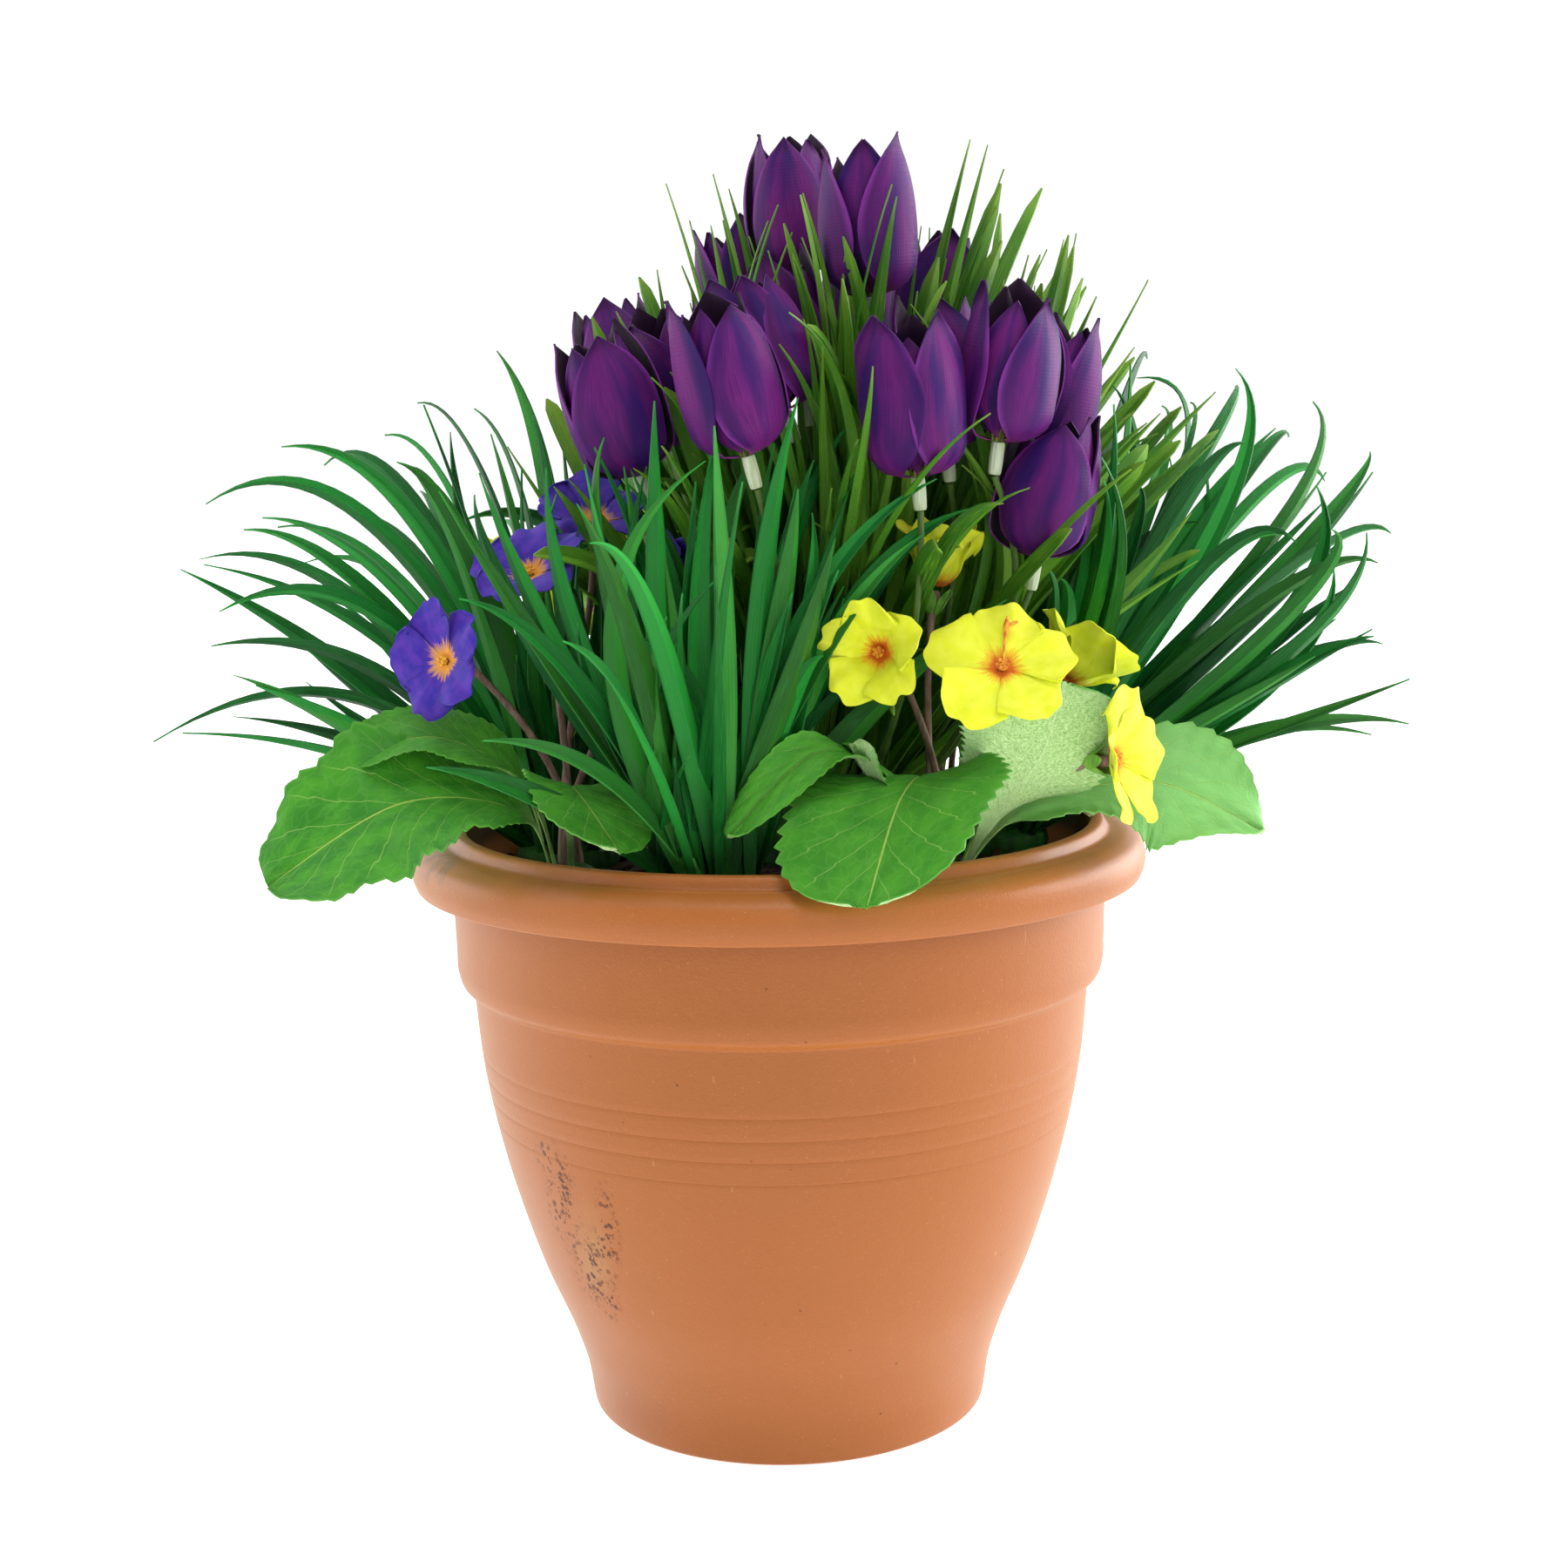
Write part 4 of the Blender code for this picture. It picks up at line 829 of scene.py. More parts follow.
# Primrose petals: share of the length, then half width as a share of the flower's radius
FLOWER_WIDTHS = [(0, 0.07), (0.18, 0.19), (0.40, 0.38), (0.62, 0.49), (0.82, 0.53), (1, 0.49)]
FLOWER_LIFTS = [(0, -0.9), (0.18, 0.5), (0.42, 1.8), (0.75, 3.0), (1, 3.4)]  # height in mm
FLOWER_CUPS = {  # degrees that the petals of each flower stand up
    "primrose_yellow_front": (30, -3, 52, 34, 14), "primrose_violet_front": (6, 10, 10, 36),
    "primrose_yellow_back": (10, 10, 20), "primrose_violet_back": (24, 10, 10)}
SMALLER_FLOWERS = {"primrose_yellow_front_flower_1": 0.88}
STAMENS = 6
LOOSE_STYLES = ("primrose_yellow_front_bloom_2",)

# Primrose leaves: share of the length, then share of half the width
LEAF_OUTLINE = [(0, 0.07), (0.20, 0.08), (0.28, 0.17), (0.38, 0.50), (0.50, 0.80), (0.62, 0.97),
                (0.74, 1.0), (0.85, 0.91), (0.92, 0.75), (0.965, 0.56), (0.99, 0.36), (1, 0.14)]
# Leaves that differ: share of the width, degrees turned, depth of lobes, painted light (how far the
# leaf is painted paler, as if it caught the light), pointed by
OTHER_LEAVES = {("primrose_yellow_front", 1): (1.45, -38, 0.045, 0, 0),
                ("primrose_yellow_front", 2): (1.12, 0, 0.06, 1, 0.5),
                ("primrose_violet_front", 1): (0.95, 0, 0.075, 0, 0.26)}
LEAF_TEETH = 26
SIDE_VEINS = 12
VEIN_SWEEP = 2.4


# Growing the layout, in the order of the model's source so that every draw falls the same

def each_flower():
    for plant, (colour, _, flowers, _) in PRIMROSES.items():
        for number, (middle, facing) in enumerate(flowers):
            yield plant, colour, number, middle, facing


def place_tulip_leaves(room, draw, wanted, widths, may_cross=False):
    return place_blades(room, draw, "tulip_greens", TULIP_CROWN, wanted, widths, may_cross)


def grow():
    """Works out where each stem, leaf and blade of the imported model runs."""
    room = Room()
    room.add("pot", turned(pot_outline(), POT_SIDES))
    mix_top = [(0, MIX_EDGE_Z - 20), (MIX_TOP_R, MIX_EDGE_Z - 20), (MIX_TOP_R, MIX_EDGE_Z),
               (0, MIX_MIDDLE_Z)]
    room.add("potting_mix", turned(mix_top, MIX_SIDES))
    for number, (foot, tip, turn) in enumerate(TULIPS, start=1):
        room.add(f"tulip_bloom_{number:02d}", merged(bloom_shapes(foot, tip, turn)))
    for plant, colour, number, middle, facing in each_flower():
        shape = flower_shape(middle, facing, FLOWER_R[colour], FLOWER_TURN * number)
        room.add(f"{plant}_flower_{number + 1}", shape)
    for plant in PRIMROSES:
        place_flower_stems(room, plant)
    tulip_draw = random.Random(TULIP_SEED)
    stems = place_tulip_stems(room, tulip_draw)
    leaves = {plant: place_leaves(room, plant) for plant in PRIMROSES}
    blades = {}
    for name, (crown, listed, _, _) in TUFTS.items():
        blades[name] = place_blades(room, random.Random(name), name, crown, listed, GRASS_WIDTH)
    blades["tulip_greens"] = place_tulip_leaves(room, tulip_draw, TULIP_BLADES, TULIP_LEAF_WIDTH)
    for name, (crown, _, count, headings) in TUFTS.items():
        draw = random.Random(name + " more")
        wanted = drawn_blades(draw, crown, count, headings, GRASS_REACH, GRASS_RISE)
        blades[name] += place_blades(room, draw, name, crown, wanted, GRASS_WIDTH)
    wanted = drawn_blades(tulip_draw, TULIP_CROWN, *TULIP_MORE)
    blades["tulip_greens"] += place_tulip_leaves(room, tulip_draw, wanted, TULIP_LEAF_WIDTH)
    return room, stems, leaves, blades


def flower_size(plant, number):
    """Node of a flower, the angle by which its petals stand up, and its radius."""
    node = f"{plant}_flower_{number + 1}"
    radius = FLOWER_R[PRIMROSES[plant][0]] * SMALLER_FLOWERS.get(node, 1)
    return node, math.radians(FLOWER_CUPS[plant][number]), radius


def add_guards(room):
    """Adds a hull round each bloom and flower, which is larger than its plain solid."""
    for foot, tip, _ in TULIPS:
        line = [Vector(foot).lerp(Vector(tip), share) for share, _ in GUARD_KEYS]
        radii = [share * BLOOM_R for _, share in GUARD_KEYS]
        room.add("guard", tube(line, radii, GUARD_SIDES))
    for plant, _, number, middle, facing in each_flower():
        _, cup, radius = flower_size(plant, number)
        way = Vector(facing).normalized()
        depth = max(4, radius * math.sin(cup) + 5)
        line = [Vector(middle) + way * height for height in (-4, depth * 0.4, depth)]
        wide = radius * math.cos(cup)
        room.add("guard", tube(line, [0.4 * radius, 0.9 * wide, 1.05 * wide], GUARD_SIDES))


def set_aside(room, draw, places):
    """Bends the model's blades by a few millimetres where a hull round a bloom touches them."""
    kept = []
    for root, tip, bow, width, twist in places:
        for attempt in range(ASIDE_ATTEMPTS):
            shifts = [Vector([draw.uniform(-1, 1) * ASIDE_STEP * attempt for _ in range(3)])
                      for _ in range(2)]
            line = curve_through(root, tip + shifts[0], bow + shifts[1], BLADE_POINTS)
            if not room.hits(blade(line, width * ASIDE_WIDTH, twist), only="guard"):
                tip, bow = tip + shifts[0], bow + shifts[1]
                break
        kept.append((root, tip, bow, width, twist))
    return kept


def near(draw, blades, count, spread, drop, bow_share):
    """Tips of further blades, each beside one that stands already and mostly lower."""
    wanted = []
    for number in range(count):
        _, tip, bow, _, _ = blades[number % len(blades)]
        x = tip.x + draw.uniform(-spread, spread)
        y = tip.y + draw.uniform(-spread, spread)
        z = tip.z - draw.uniform(*drop)
        wanted.append((x, y, z, bow.x * draw.uniform(*bow_share), bow.z * draw.uniform(*bow_share)))
    return wanted


# Camera, light and floor

def stand_camera():
    lens = bpy.data.cameras.new("camera")
    lens.lens, lens.sensor_width = CAMERA_LENS
    lens.clip_start, lens.clip_end = CAMERA_SEES
    camera = bpy.data.objects.new("camera", lens)
    bpy.context.collection.objects.link(camera)
    camera.location = CAMERA_PLACE
    tilt = Matrix.Rotation(math.pi / 2 - math.radians(CAMERA_DOWN), 3, "X")
    camera.rotation_euler = (tilt @ Matrix.Rotation(math.radians(CAMERA_LEAN), 3, "Z")).to_euler()
    bpy.context.scene.camera = camera


def hang_light(name, place, size, watts):
    lamp = bpy.data.lights.new(name, "AREA")
    lamp.shape, lamp.size, lamp.energy = "DISK", size, watts
    light = bpy.data.objects.new(name, lamp)
    bpy.context.collection.objects.link(light)
    light.location = place
    light.rotation_euler = (LAMP_AIM - Vector(place)).to_track_quat("-Z", "Y").to_euler()


def light_world():
    """Light all round that is dimmer in front."""
    world = bpy.data.worlds.new("studio")
    world.use_nodes = True
    nodes, links = world.node_tree.nodes, world.node_tree.links
    way = nodes.new("ShaderNodeTexCoord")
    split = nodes.new("ShaderNodeSeparateXYZ")
    fade = nodes.new("ShaderNodeMapRange")
    settings = zip(("From Min", "From Max", "To Min", "To Max"), WORLD_FADE + WORLD_LIGHT)
    for socket, value in settings:
        fade.inputs[socket].default_value = value
    links.new(way.outputs["Generated"], split.inputs[0])
    links.new(split.outputs["Y"], fade.inputs["Value"])
    sky = nodes["Background"]
    sky.inputs["Color"].default_value = (1, 1, 1, 1)
    links.new(fade.outputs["Result"], sky.inputs["Strength"])
    bpy.context.scene.world = world


def light_studio():
    """A white room that only the camera sees, its pale floor, and the lamps."""
    light_world()
    for name, (place, size, watts) in LAMPS.items():
        hang_light(name, place, size, watts)
    bpy.ops.mesh.primitive_uv_sphere_add(segments=48, ring_count=24, radius=ROOM_R)
    room = bpy.context.object
    room.name = "white_room"
    room.visible_diffuse = False
    room.visible_glossy = False
    room.visible_shadow = False
    room.data.materials.append(glowing("white_wall", (0.0, 0.0, 0.0), 1.0))
    bpy.ops.mesh.primitive_circle_add(vertices=96, radius=ROOM_FLOOR[0], fill_type="NGON",
                                      location=(0, 0, ROOM_FLOOR[1]))
    floor = bpy.context.object
    floor.name = "floor"
    floor.visible_glossy = False
    floor.data.materials.append(glowing("pale_floor", (0.94, 0.94, 0.94), FLOOR_GLOW,
                                        Roughness=0.9))
    bpy.context.scene.view_settings.view_transform = "Standard"
    bpy.context.scene.view_settings.look = "None"


# Materials

def tone(code):
    """Linear colour from a six-digit colour code."""
    parts = [int(code[place:place + 2], 16) / 255 for place in (0, 2, 4)]
    return tuple(part / 12.92 if part < 0.04045 else ((part + 0.055) / 1.055) ** 2.4
                 for part in parts)


class Wire:
    """An output of a node, on which shader maths is written as on a number."""

    def __init__(self, paint, socket):
        self.paint, self.socket = paint, socket

    def reckon(self, operation, *values, clamp=False):
        return self.paint.node("ShaderNodeMath", {"operation": operation, "use_clamp": clamp},
                               dict(enumerate(values)))

    def __add__(self, other):
        return self.reckon("ADD", self, other)

    def __sub__(self, other):
        return self.reckon("SUBTRACT", self, other)

    def __rsub__(self, other):
        return self.reckon("SUBTRACT", other, self)

    def __mul__(self, other):
        return self.reckon("MULTIPLY", self, other)

    def __pow__(self, other):
        return self.reckon("POWER", self, other)

    def __abs__(self):
        return self.reckon("ABSOLUTE", self)

    __radd__, __rmul__ = __add__, __mul__

    def wave(self):
        return self.reckon("SINE", self)

    def part(self):
        """What is left of a number after its whole part."""
        return self.reckon("FRACT", self)

    def held(self):
        """The number kept between 0 and 1."""
        return self.reckon("ADD", self, 0, clamp=True)

    def rise(self, low, high):
        """0 below low, 1 above high and smooth between; falls where low is above high."""
        return self.paint.node("ShaderNodeMapRange", {"interpolation_type": "SMOOTHSTEP"},
                               {"Value": self, "From Min": low, "From Max": high})

    def ripples(self, rate):
        """Waves from 0 to 1, which run by rate radians where this number runs by 1."""
        return ((self * rate).wave() + 1) * 0.5

    def off_middle(self):
        """Distance from the middle of a piece, 0 to 1, where this number runs across it."""
        return abs(self - 0.5) * 2


class Paint:
    """A material whose nodes are added by code, with a colour that is laid on in coats."""

    def __init__(self, name, **fixed):
        self.material = bpy.data.materials.new(name)
        self.material.use_nodes = True
        self.tree = self.material.node_tree
        self.shader = self.tree.nodes["Principled BSDF"]
        self.colour = None
        self.finish(**fixed)

    def finish(self, **inputs):
        """Sets inputs of the shader and gives the material."""
        for key, value in inputs.items():
            self.put(self.shader.inputs[key.replace("_", " ")], value)
        return self.material

    def put(self, socket, value):
        if isinstance(value, Wire):
            self.tree.links.new(value.socket, socket)
        elif isinstance(value, tuple) and socket.type == "RGBA":
            socket.default_value = (*value, 1)
        else:
            socket.default_value = value

    def node(self, kind, settings=None, values=None, out=0):
        """Adds a node: its settings first, then the values or wires of its sockets."""
        made = self.tree.nodes.new(kind)
        for key, value in (settings or {}).items():
            setattr(made, key, value)
        for key, value in (values or {}).items():
            self.put(made.inputs[key], value)
        return Wire(self, made.outputs[out])

    def vector(self, operation, *values, out=0):
        return self.node("ShaderNodeVectorMath", {"operation": operation},
                         dict(enumerate(values)), out)

    def parts(self, point):
        """The three numbers of a point."""
        split = self.node("ShaderNodeSeparateXYZ", values={0: point})
        return [Wire(self, number) for number in split.socket.node.outputs]

    def place(self, stretch=None):
        """The point on the piece, in metres, stretched for grain that runs one way."""
        here = self.node("ShaderNodeTexCoord", out="Object")
        if stretch is None:
            return here
        return self.node("ShaderNodeMapping", values={"Vector": here, "Scale": stretch})

    def across_along(self):
        """Places across and along a leaf or petal, each from 0 to 1."""
        return self.parts(self.node("ShaderNodeUVMap", {"uv_map": "UVMap"}))[:2]

    def chart(self, across, along):
        """A pattern place from two numbers."""
        return self.node("ShaderNodeCombineXYZ", values={0: across, 1: along})

    def own_shade(self):
        return self.node("ShaderNodeAttribute", {"attribute_name": "shade"}, out="Fac")

    def noise(self, scale, detail, where=None, rough=0.5):
        return self.node("ShaderNodeTexNoise", values={
            "Vector": where or self.place(), "Scale": scale, "Detail": detail, "Roughness": rough})

    def cells(self, scale, where=None, feature="F1"):
        return self.node("ShaderNodeTexVoronoi", {"feature": feature},
                         {"Vector": where or self.place(), "Scale": scale})

    def mix(self, share, first, second):
        return self.node("ShaderNodeMix", {"data_type": "RGBA"},
                         {0: share, 6: first, 7: second}, out=2)

    def ground(self, share, first, second):
        """Starts the colour as a mix of two colour codes."""
        self.colour = self.mix(share, tone(first), tone(second))

    def coat(self, share, code):
        """Lays a colour code over the colour so far, as thickly as the share says."""
        self.colour = self.mix(share, self.colour, tone(code))

    def relief(self, height, depth, strength):
        """Bump from a height of 0 to 1 that stands depth metres tall."""
        self.finish(Normal=self.node("ShaderNodeBump", values={
            "Strength": strength, "Distance": depth, "Height": height}))

    def coloured(self, **inputs):
        return self.finish(Base_Color=self.colour, **inputs)


def glowing(name, colour, strength, **fixed):
    """A surface of the studio that glows white without lighting the planter as a lamp."""
    paint = Paint(name, **fixed, Base_Color=colour, Emission_Color=(1.0, 1.0, 1.0),
                  Emission_Strength=strength)
    paint.material.cycles.emission_sampling = "NONE"
    return paint.material


def spot(paint, middle, size):
    """1 at a place on the pot, falling to 0 at the size of the mark round it, in metres."""
    scaled = paint.vector("DIVIDE", paint.vector("SUBTRACT", paint.place(), middle), size)
    return paint.vector("LENGTH", scaled, out="Value").rise(1.0, 0.2)


def terracotta_plastic():
    """Satin plastic with an orange-peel skin, fine scratches, a dirt patch, a stain on the rim and
    painted shade on the inner wall above the mix.
    """
    paint = Paint("terracotta_plastic", Specular_IOR_Level=0.36, Coat_Roughness=0.34,
                  Sheen_Weight=0.20, Sheen_Roughness=0.35, Sheen_Tint=tone("F6CC94"))
    paint.ground(paint.noise(7, 3), "A1591B", "A96121")
    paint.coat(paint.noise(900, 2).rise(0.62, 0.80) * 0.25, "D08A57")
    clean = 1.0
    for middle, size in DIRT_RUNS:
        clean = clean * (1 - spot(paint, middle, size))
    specks = paint.cells(360).rise(0.48, 0.32)
    specks = specks * paint.noise(150, 2).rise(0.42, 0.49)
    fine_specks = paint.cells(760).rise(0.46, 0.30)
    fine_specks = fine_specks * paint.noise(110, 2).rise(0.52, 0.45)
    specks = ((1 - clean) * (specks + fine_specks * 0.8)).held()
    smear = spot(paint, (-0.075, -0.082, 0.088), (0.010, 0.03, 0.032)) * paint.noise(90, 3)
    paint.coat(smear * 0.75, "A9824A")
    paint.coat(specks, "5C2A06")
    stray = paint.cells(75).rise(0.05, 0.03) * paint.noise(11, 1).rise(0.52, 0.6)
    paint.coat(stray * 0.8, "5A3519")
    round_axis = paint.vector("LENGTH", paint.place((1, 1, 0)), out="Value")
    height = paint.parts(paint.place())[2]
    # Painted shade: the inner wall between the mix and the mouth is darkened, standing in for the
    # shadow that the plants cast into the pot.
    painted_shade_inside = round_axis.rise(0.1300, 0.1288) * height.rise(0.2435, 0.236)
    painted_shade_inside = painted_shade_inside * height.rise(0.205, 0.215)
    paint.coat(painted_shade_inside * 0.85, "2A1810")
    grime = spot(paint, (-0.133, -0.062, 0.240), (0.020, 0.03, 0.014))
    paint.coat(grime * paint.noise(170, 3).rise(0.42, 0.60) * 0.6, "54300F")
    smudge = spot(paint, (-0.062, -0.055, 0.016), (0.03, 0.03, 0.016)) * paint.noise(90, 3)
    paint.coat(smudge * 0.5, "94552C")
    long_marks = paint.noise(420, 3, paint.place(UPRIGHT_GRAIN)).rise(0.72, 0.78)
    paint.coat(long_marks * 0.25, "D9A878")
    dust = paint.noise(1400, 1).rise(0.74, 0.80) * paint.noise(25, 1).rise(0.45, 0.65)
    paint.coat(dust * 0.5, "E6C7A4")
    paint.relief(paint.noise(1100, 2) * 0.7 + paint.noise(420, 2) * 0.3, 0.0004, 0.75)
    return paint.coloured(Coat_Weight=(1 - specks) * 0.30,
                          Roughness=0.42 + paint.noise(40, 3) * 0.12)


def bark_mix():
    paint = Paint("bark_and_peat", Specular_IOR_Level=0.2)
    grain = paint.noise(420, 6, rough=0.65)
    lumps = paint.cells(160)
    paint.ground(grain, "120C08", "3B2A1C")
    paint.coat(lumps.rise(0.2, 0.8) * 0.5, "20160E")
    paint.relief(grain + lumps * 0.6, 0.0012, 0.8)
    return paint.coloured(Roughness=0.85 + grain * 0.1)


def bark_chip():
    paint = Paint("bark_chip", Specular_IOR_Level=0.25)
    streaks = paint.noise(300, 5, paint.place((1, 1, 0.3)), 0.6)
    paint.ground(streaks, "1A110A", "5A4028")
    paint.coat(paint.own_shade() * 0.6, "2B1B10")
    paint.relief(streaks, 0.0006, 0.8)
    return paint.coloured(Roughness=0.8 + streaks * 0.15)


def moulded_green(name, dark, middle, light, foot):
    """Soft moulded plastic of a blade, with fine ribs along it and paler tips; painted shade darkens
    one half of each blade across its fold, and its foot.
    """
    paint = Paint(name, Specular_IOR_Level=0.25)
    across, along = paint.across_along()
    shade = paint.own_shade()
    off_middle = across.off_middle()
    streak = paint.noise(5, 3, paint.chart(across * 5 + shade * 40, along * 2.2 + shade * 9))
    paint.ground(shade, dark, middle)
    paint.coat(shade.rise(0.65, 1.0) * 0.50, light)
    paint.coat((shade * 7.3).part().rise(0.70, 0.78) * 0.40, "4C8A26")
    paint.coat(streak.rise(0.42, 0.72) * 0.32, light)
    # Painted shade: one half of each blade across its fold is darker, as the side of the fold turned
    # from the light.
    paint.coat((across - 0.5).rise(-0.02, 0.02) * 0.42, dark)
    paint.coat(off_middle.rise(0.80, 1.0) * 0.35, dark)
    # Painted shade: the foot of each blade takes the foot colour, darker than the blade, standing in
    # for the shade low among the blades.
    paint.coat(along.rise(0.24, 0.02) * 0.75, foot)
    paint.coat(along.rise(0.90, 1.0) * 0.35, light)
    paint.relief(across.ripples(62.8) * 0.6 + paint.noise(700, 2) * 0.4, 0.00018, 0.6)
    return paint.coloured(Roughness=0.40 + streak * 0.18)


def plain_moulding(name, dark, light, roughness=0.45, scale=160):
    """Moulded plastic with slow mottling that runs along a stem."""
    paint = Paint(name, Specular_IOR_Level=0.4)
    mottle = paint.noise(scale, 4, paint.place(UPRIGHT_GRAIN), 0.6)
    fine = paint.noise(1200, 2)
    paint.ground(mottle.rise(0.30, 0.72), dark, light)
    paint.relief(mottle * 0.5 + fine * 0.5, 0.0002, 0.6)
    return paint.coloured(Roughness=roughness + fine * 0.1)


def woven(paint, across, along, threads, depth, streak):
    """Relief of a plain weave whose threads follow the cut piece, and of the streaks on it."""
    cloth = ((across * threads).ripples(6.283) + (along * threads).ripples(6.283)) * 0.5
    paint.relief(cloth * 0.5 + streak * 0.5, depth, 0.7)


def tulip_outside():
    """Satin cloth: magenta purple, clouded with blue violet, with fine streaks and a paler edge."""
    paint = Paint("tulip_cloth_outside", Sheen_Weight=0.05, Sheen_Roughness=0.4,
                  Sheen_Tint=tone("B060C8"), Specular_IOR_Level=0.17)
    across, along = paint.across_along()
    shade = paint.own_shade()
    off_middle = across.off_middle()
    cloud = paint.noise(1.7, 2, paint.chart(across * 2.2 + shade * 31, along * 0.7 + shade * 17))
    streak = paint.noise(9, 4, paint.chart(across * 6 + shade * 53, along * 0.6), 0.62)
    paint.ground(streak.rise(0.10, 0.90), "480C54", "761C76")
    paint.coat(shade * 0.35, "4A0E5E")
    paint.coat(cloud.rise(0.38, 0.70) * 0.85, "220C58")
    paint.coat(off_middle.rise(0.35, 0.95) * 0.50, "240A4C")
    paint.coat(off_middle.rise(0.82, 1.0) * cloud.rise(0.62, 0.40) * 0.45, "9438A4")
    paint.coat(along.rise(0.14, 0.0) * 0.6, "7A2668")
    paint.coat(along.rise(0.84, 1.0) * 0.6, "2E0A3E")
    woven(paint, across, along, 46, 0.00016, streak)
    return paint.coloured(Roughness=0.48 + streak * 0.16)


def tulip_inside():
    paint = Paint("tulip_cloth_inside", Sheen_Weight=0.05, Specular_IOR_Level=0.2)
    across, along = paint.across_along()
    streak = paint.noise(9, 4, paint.chart(across * 6, along * 0.9), 0.62)
    paint.ground(streak, "180318", "2C0832")
    paint.coat(along.rise(0.25, 0.0) * 0.7, "1A0414")
    woven(paint, across, along, 46, 0.00010, streak)
    return paint.coloured(Roughness=0.55 + streak * 0.2)


def primrose_cloth(name, middle, light, fold, eye, ray, eye_reach):
    """Printed cloth of a primrose petal: an eye with rays that run out along the petal, and a darker
    fold colour laid on as painted shade.
    """
    paint = Paint(name, Sheen_Weight=0.08, Sheen_Roughness=0.4, Specular_IOR_Level=0.22)
    across, along = paint.across_along()
    shade = paint.own_shade()
    cloud = paint.noise(2.4, 3, paint.chart(across * 2 + shade * 31, along * 2 + shade * 17))
    streak = paint.noise(8, 3, paint.chart(across * 8 + shade * 40, along * 0.8), 0.6)
    off_middle = across.off_middle()
    rays = paint.noise(1.0, 2, paint.chart(across * 26 + shade * 40, along * 1.5), 0.7)
    paint.ground(cloud.rise(0.3, 0.7), middle, light)
    # Painted shade: the fold colour, a darker tone, is laid along the streaks and on the petal's edges
    # as the shade of its folds and creases.
    paint.coat(streak.rise(0.5, 0.8) * 0.35, fold)
    paint.coat(off_middle.rise(0.75, 1.0) * 0.4, fold)
    reach = eye_reach * (-0.10 + rays * 2.3)
    paint.coat((reach - along).rise(-0.03, 0.03) * 0.75, ray)
    paint.coat((reach * 0.55 - along).rise(-0.03, 0.03) * 0.9, eye)
    woven(paint, across, along, 40, 0.00010, streak)
    return paint.coloured(Roughness=0.55 + cloud * 0.15)


def leaf_veins(paint):
    """Masks of a printed primrose leaf: midrib, side veins that curve to the edge, fine net."""
    across, along = paint.across_along()
    off_middle = across.off_middle()
    wander = paint.noise(3, 2, paint.chart(across * 3, along * 3)) - 0.5
    midrib = off_middle.rise(0.026, 0.008)
    course = along * SIDE_VEINS - off_middle ** 0.85 * VEIN_SWEEP + wander * 0.05
    side = abs((course + (across - 0.5).rise(-0.001, 0.001) * 0.5).part() - 0.5)
    side = side.rise(0.032, 0.008) * off_middle.rise(1.0, 0.70)
    net = paint.cells(1.0, paint.chart(across * 16, along * 30), "DISTANCE_TO_EDGE")
    return across, along, off_middle, midrib, side, net.rise(0.10, 0.02)


def leaf_top():
    """Green printed cloth with pale embossed veins and a lighter toothed edge; one leaf is painted
    paler as if lit.
    """
    paint = Paint("primrose_leaf_top", Sheen_Weight=0.03, Specular_IOR_Level=0.25)
    across, along, off_middle, midrib, side, net = leaf_veins(paint)
    shade = paint.own_shade()
    cloud = paint.noise(4, 4, paint.chart(across * 2 + shade * 23, along * 3 + shade * 11))
    paint.ground(cloud.rise(0.3, 0.7), "2A7C18", "45971F")
    paint.coat(shade * 0.4, "51A028")
    # Painted light: a leaf whose own shade is near 1 is painted much paler, as if it were turned to
    # the lamps.
    paint.coat(shade.rise(0.92, 1.0) * (0.45 + cloud * 0.5), "8CCB76")
    paint.coat(net * 0.08, "8CC468")
    paint.coat(side * 0.42, "A4D468")
    paint.coat(midrib * 0.85, "A6CC5C")
    paint.coat(off_middle.rise(0.95, 1.0) * 0.35, "6FAC4C")
    paint.coat(along.rise(0.34, 0.20) * 0.8, "A9CF7B")
    height = 0.6 - net * 0.15 - side * 0.35 - midrib * 0.6 + paint.noise(500, 3) * 0.12
    paint.relief(height, 0.0006, 0.8)
    return paint.coloured(Roughness=0.50 + cloud * 0.15)


def leaf_under():
    """Pale unprinted back of the cloth, with the weave and raised veins."""
    paint = Paint("primrose_leaf_under", Sheen_Weight=0.05, Specular_IOR_Level=0.15)
    across, along, _, midrib, side, _ = leaf_veins(paint)
    threads = paint.noise(10, 2, paint.chart(across * 3, along * 30)) * 0.5
    threads = threads + paint.noise(10, 2, paint.chart(across * 22, along * 4)) * 0.5
    paint.ground(threads.rise(0.40, 0.60), "86B466", "C2E0A2")
    paint.coat(side * 0.4, "8CBA6A")
    paint.coat(midrib * 0.5, "CCE6AA")
    warp = ((across * 500).wave() + (along * 700).wave() + 2) * 0.25
    paint.relief(0.3 + side * 0.3 + midrib * 0.5 + warp * 0.18 + threads * 0.2, 0.0006, 0.8)
    return paint.coloured(Roughness=0.72 + threads * 0.1)


# Working on pieces

def choose(*pieces):
    """Leaves only these pieces selected, the first one active."""
    bpy.ops.object.select_all(action="DESELECT")
    for piece in pieces:
        piece.select_set(True)
    bpy.context.view_layer.objects.active = pieces[0]


def joined(name, pieces):
    choose(*pieces)
    if len(pieces) > 1:
        bpy.ops.object.join()
    pieces[0].name = name
    return pieces[0]


def shaped(piece, kind, **settings):
    """Adds a modifier to a piece and applies it."""
    choose(piece)
    modifier = piece.modifiers.new(kind.lower(), kind)
    for key, value in settings.items():
        setattr(modifier, key, value)
    bpy.ops.object.modifier_apply(modifier=modifier.name)
    return piece


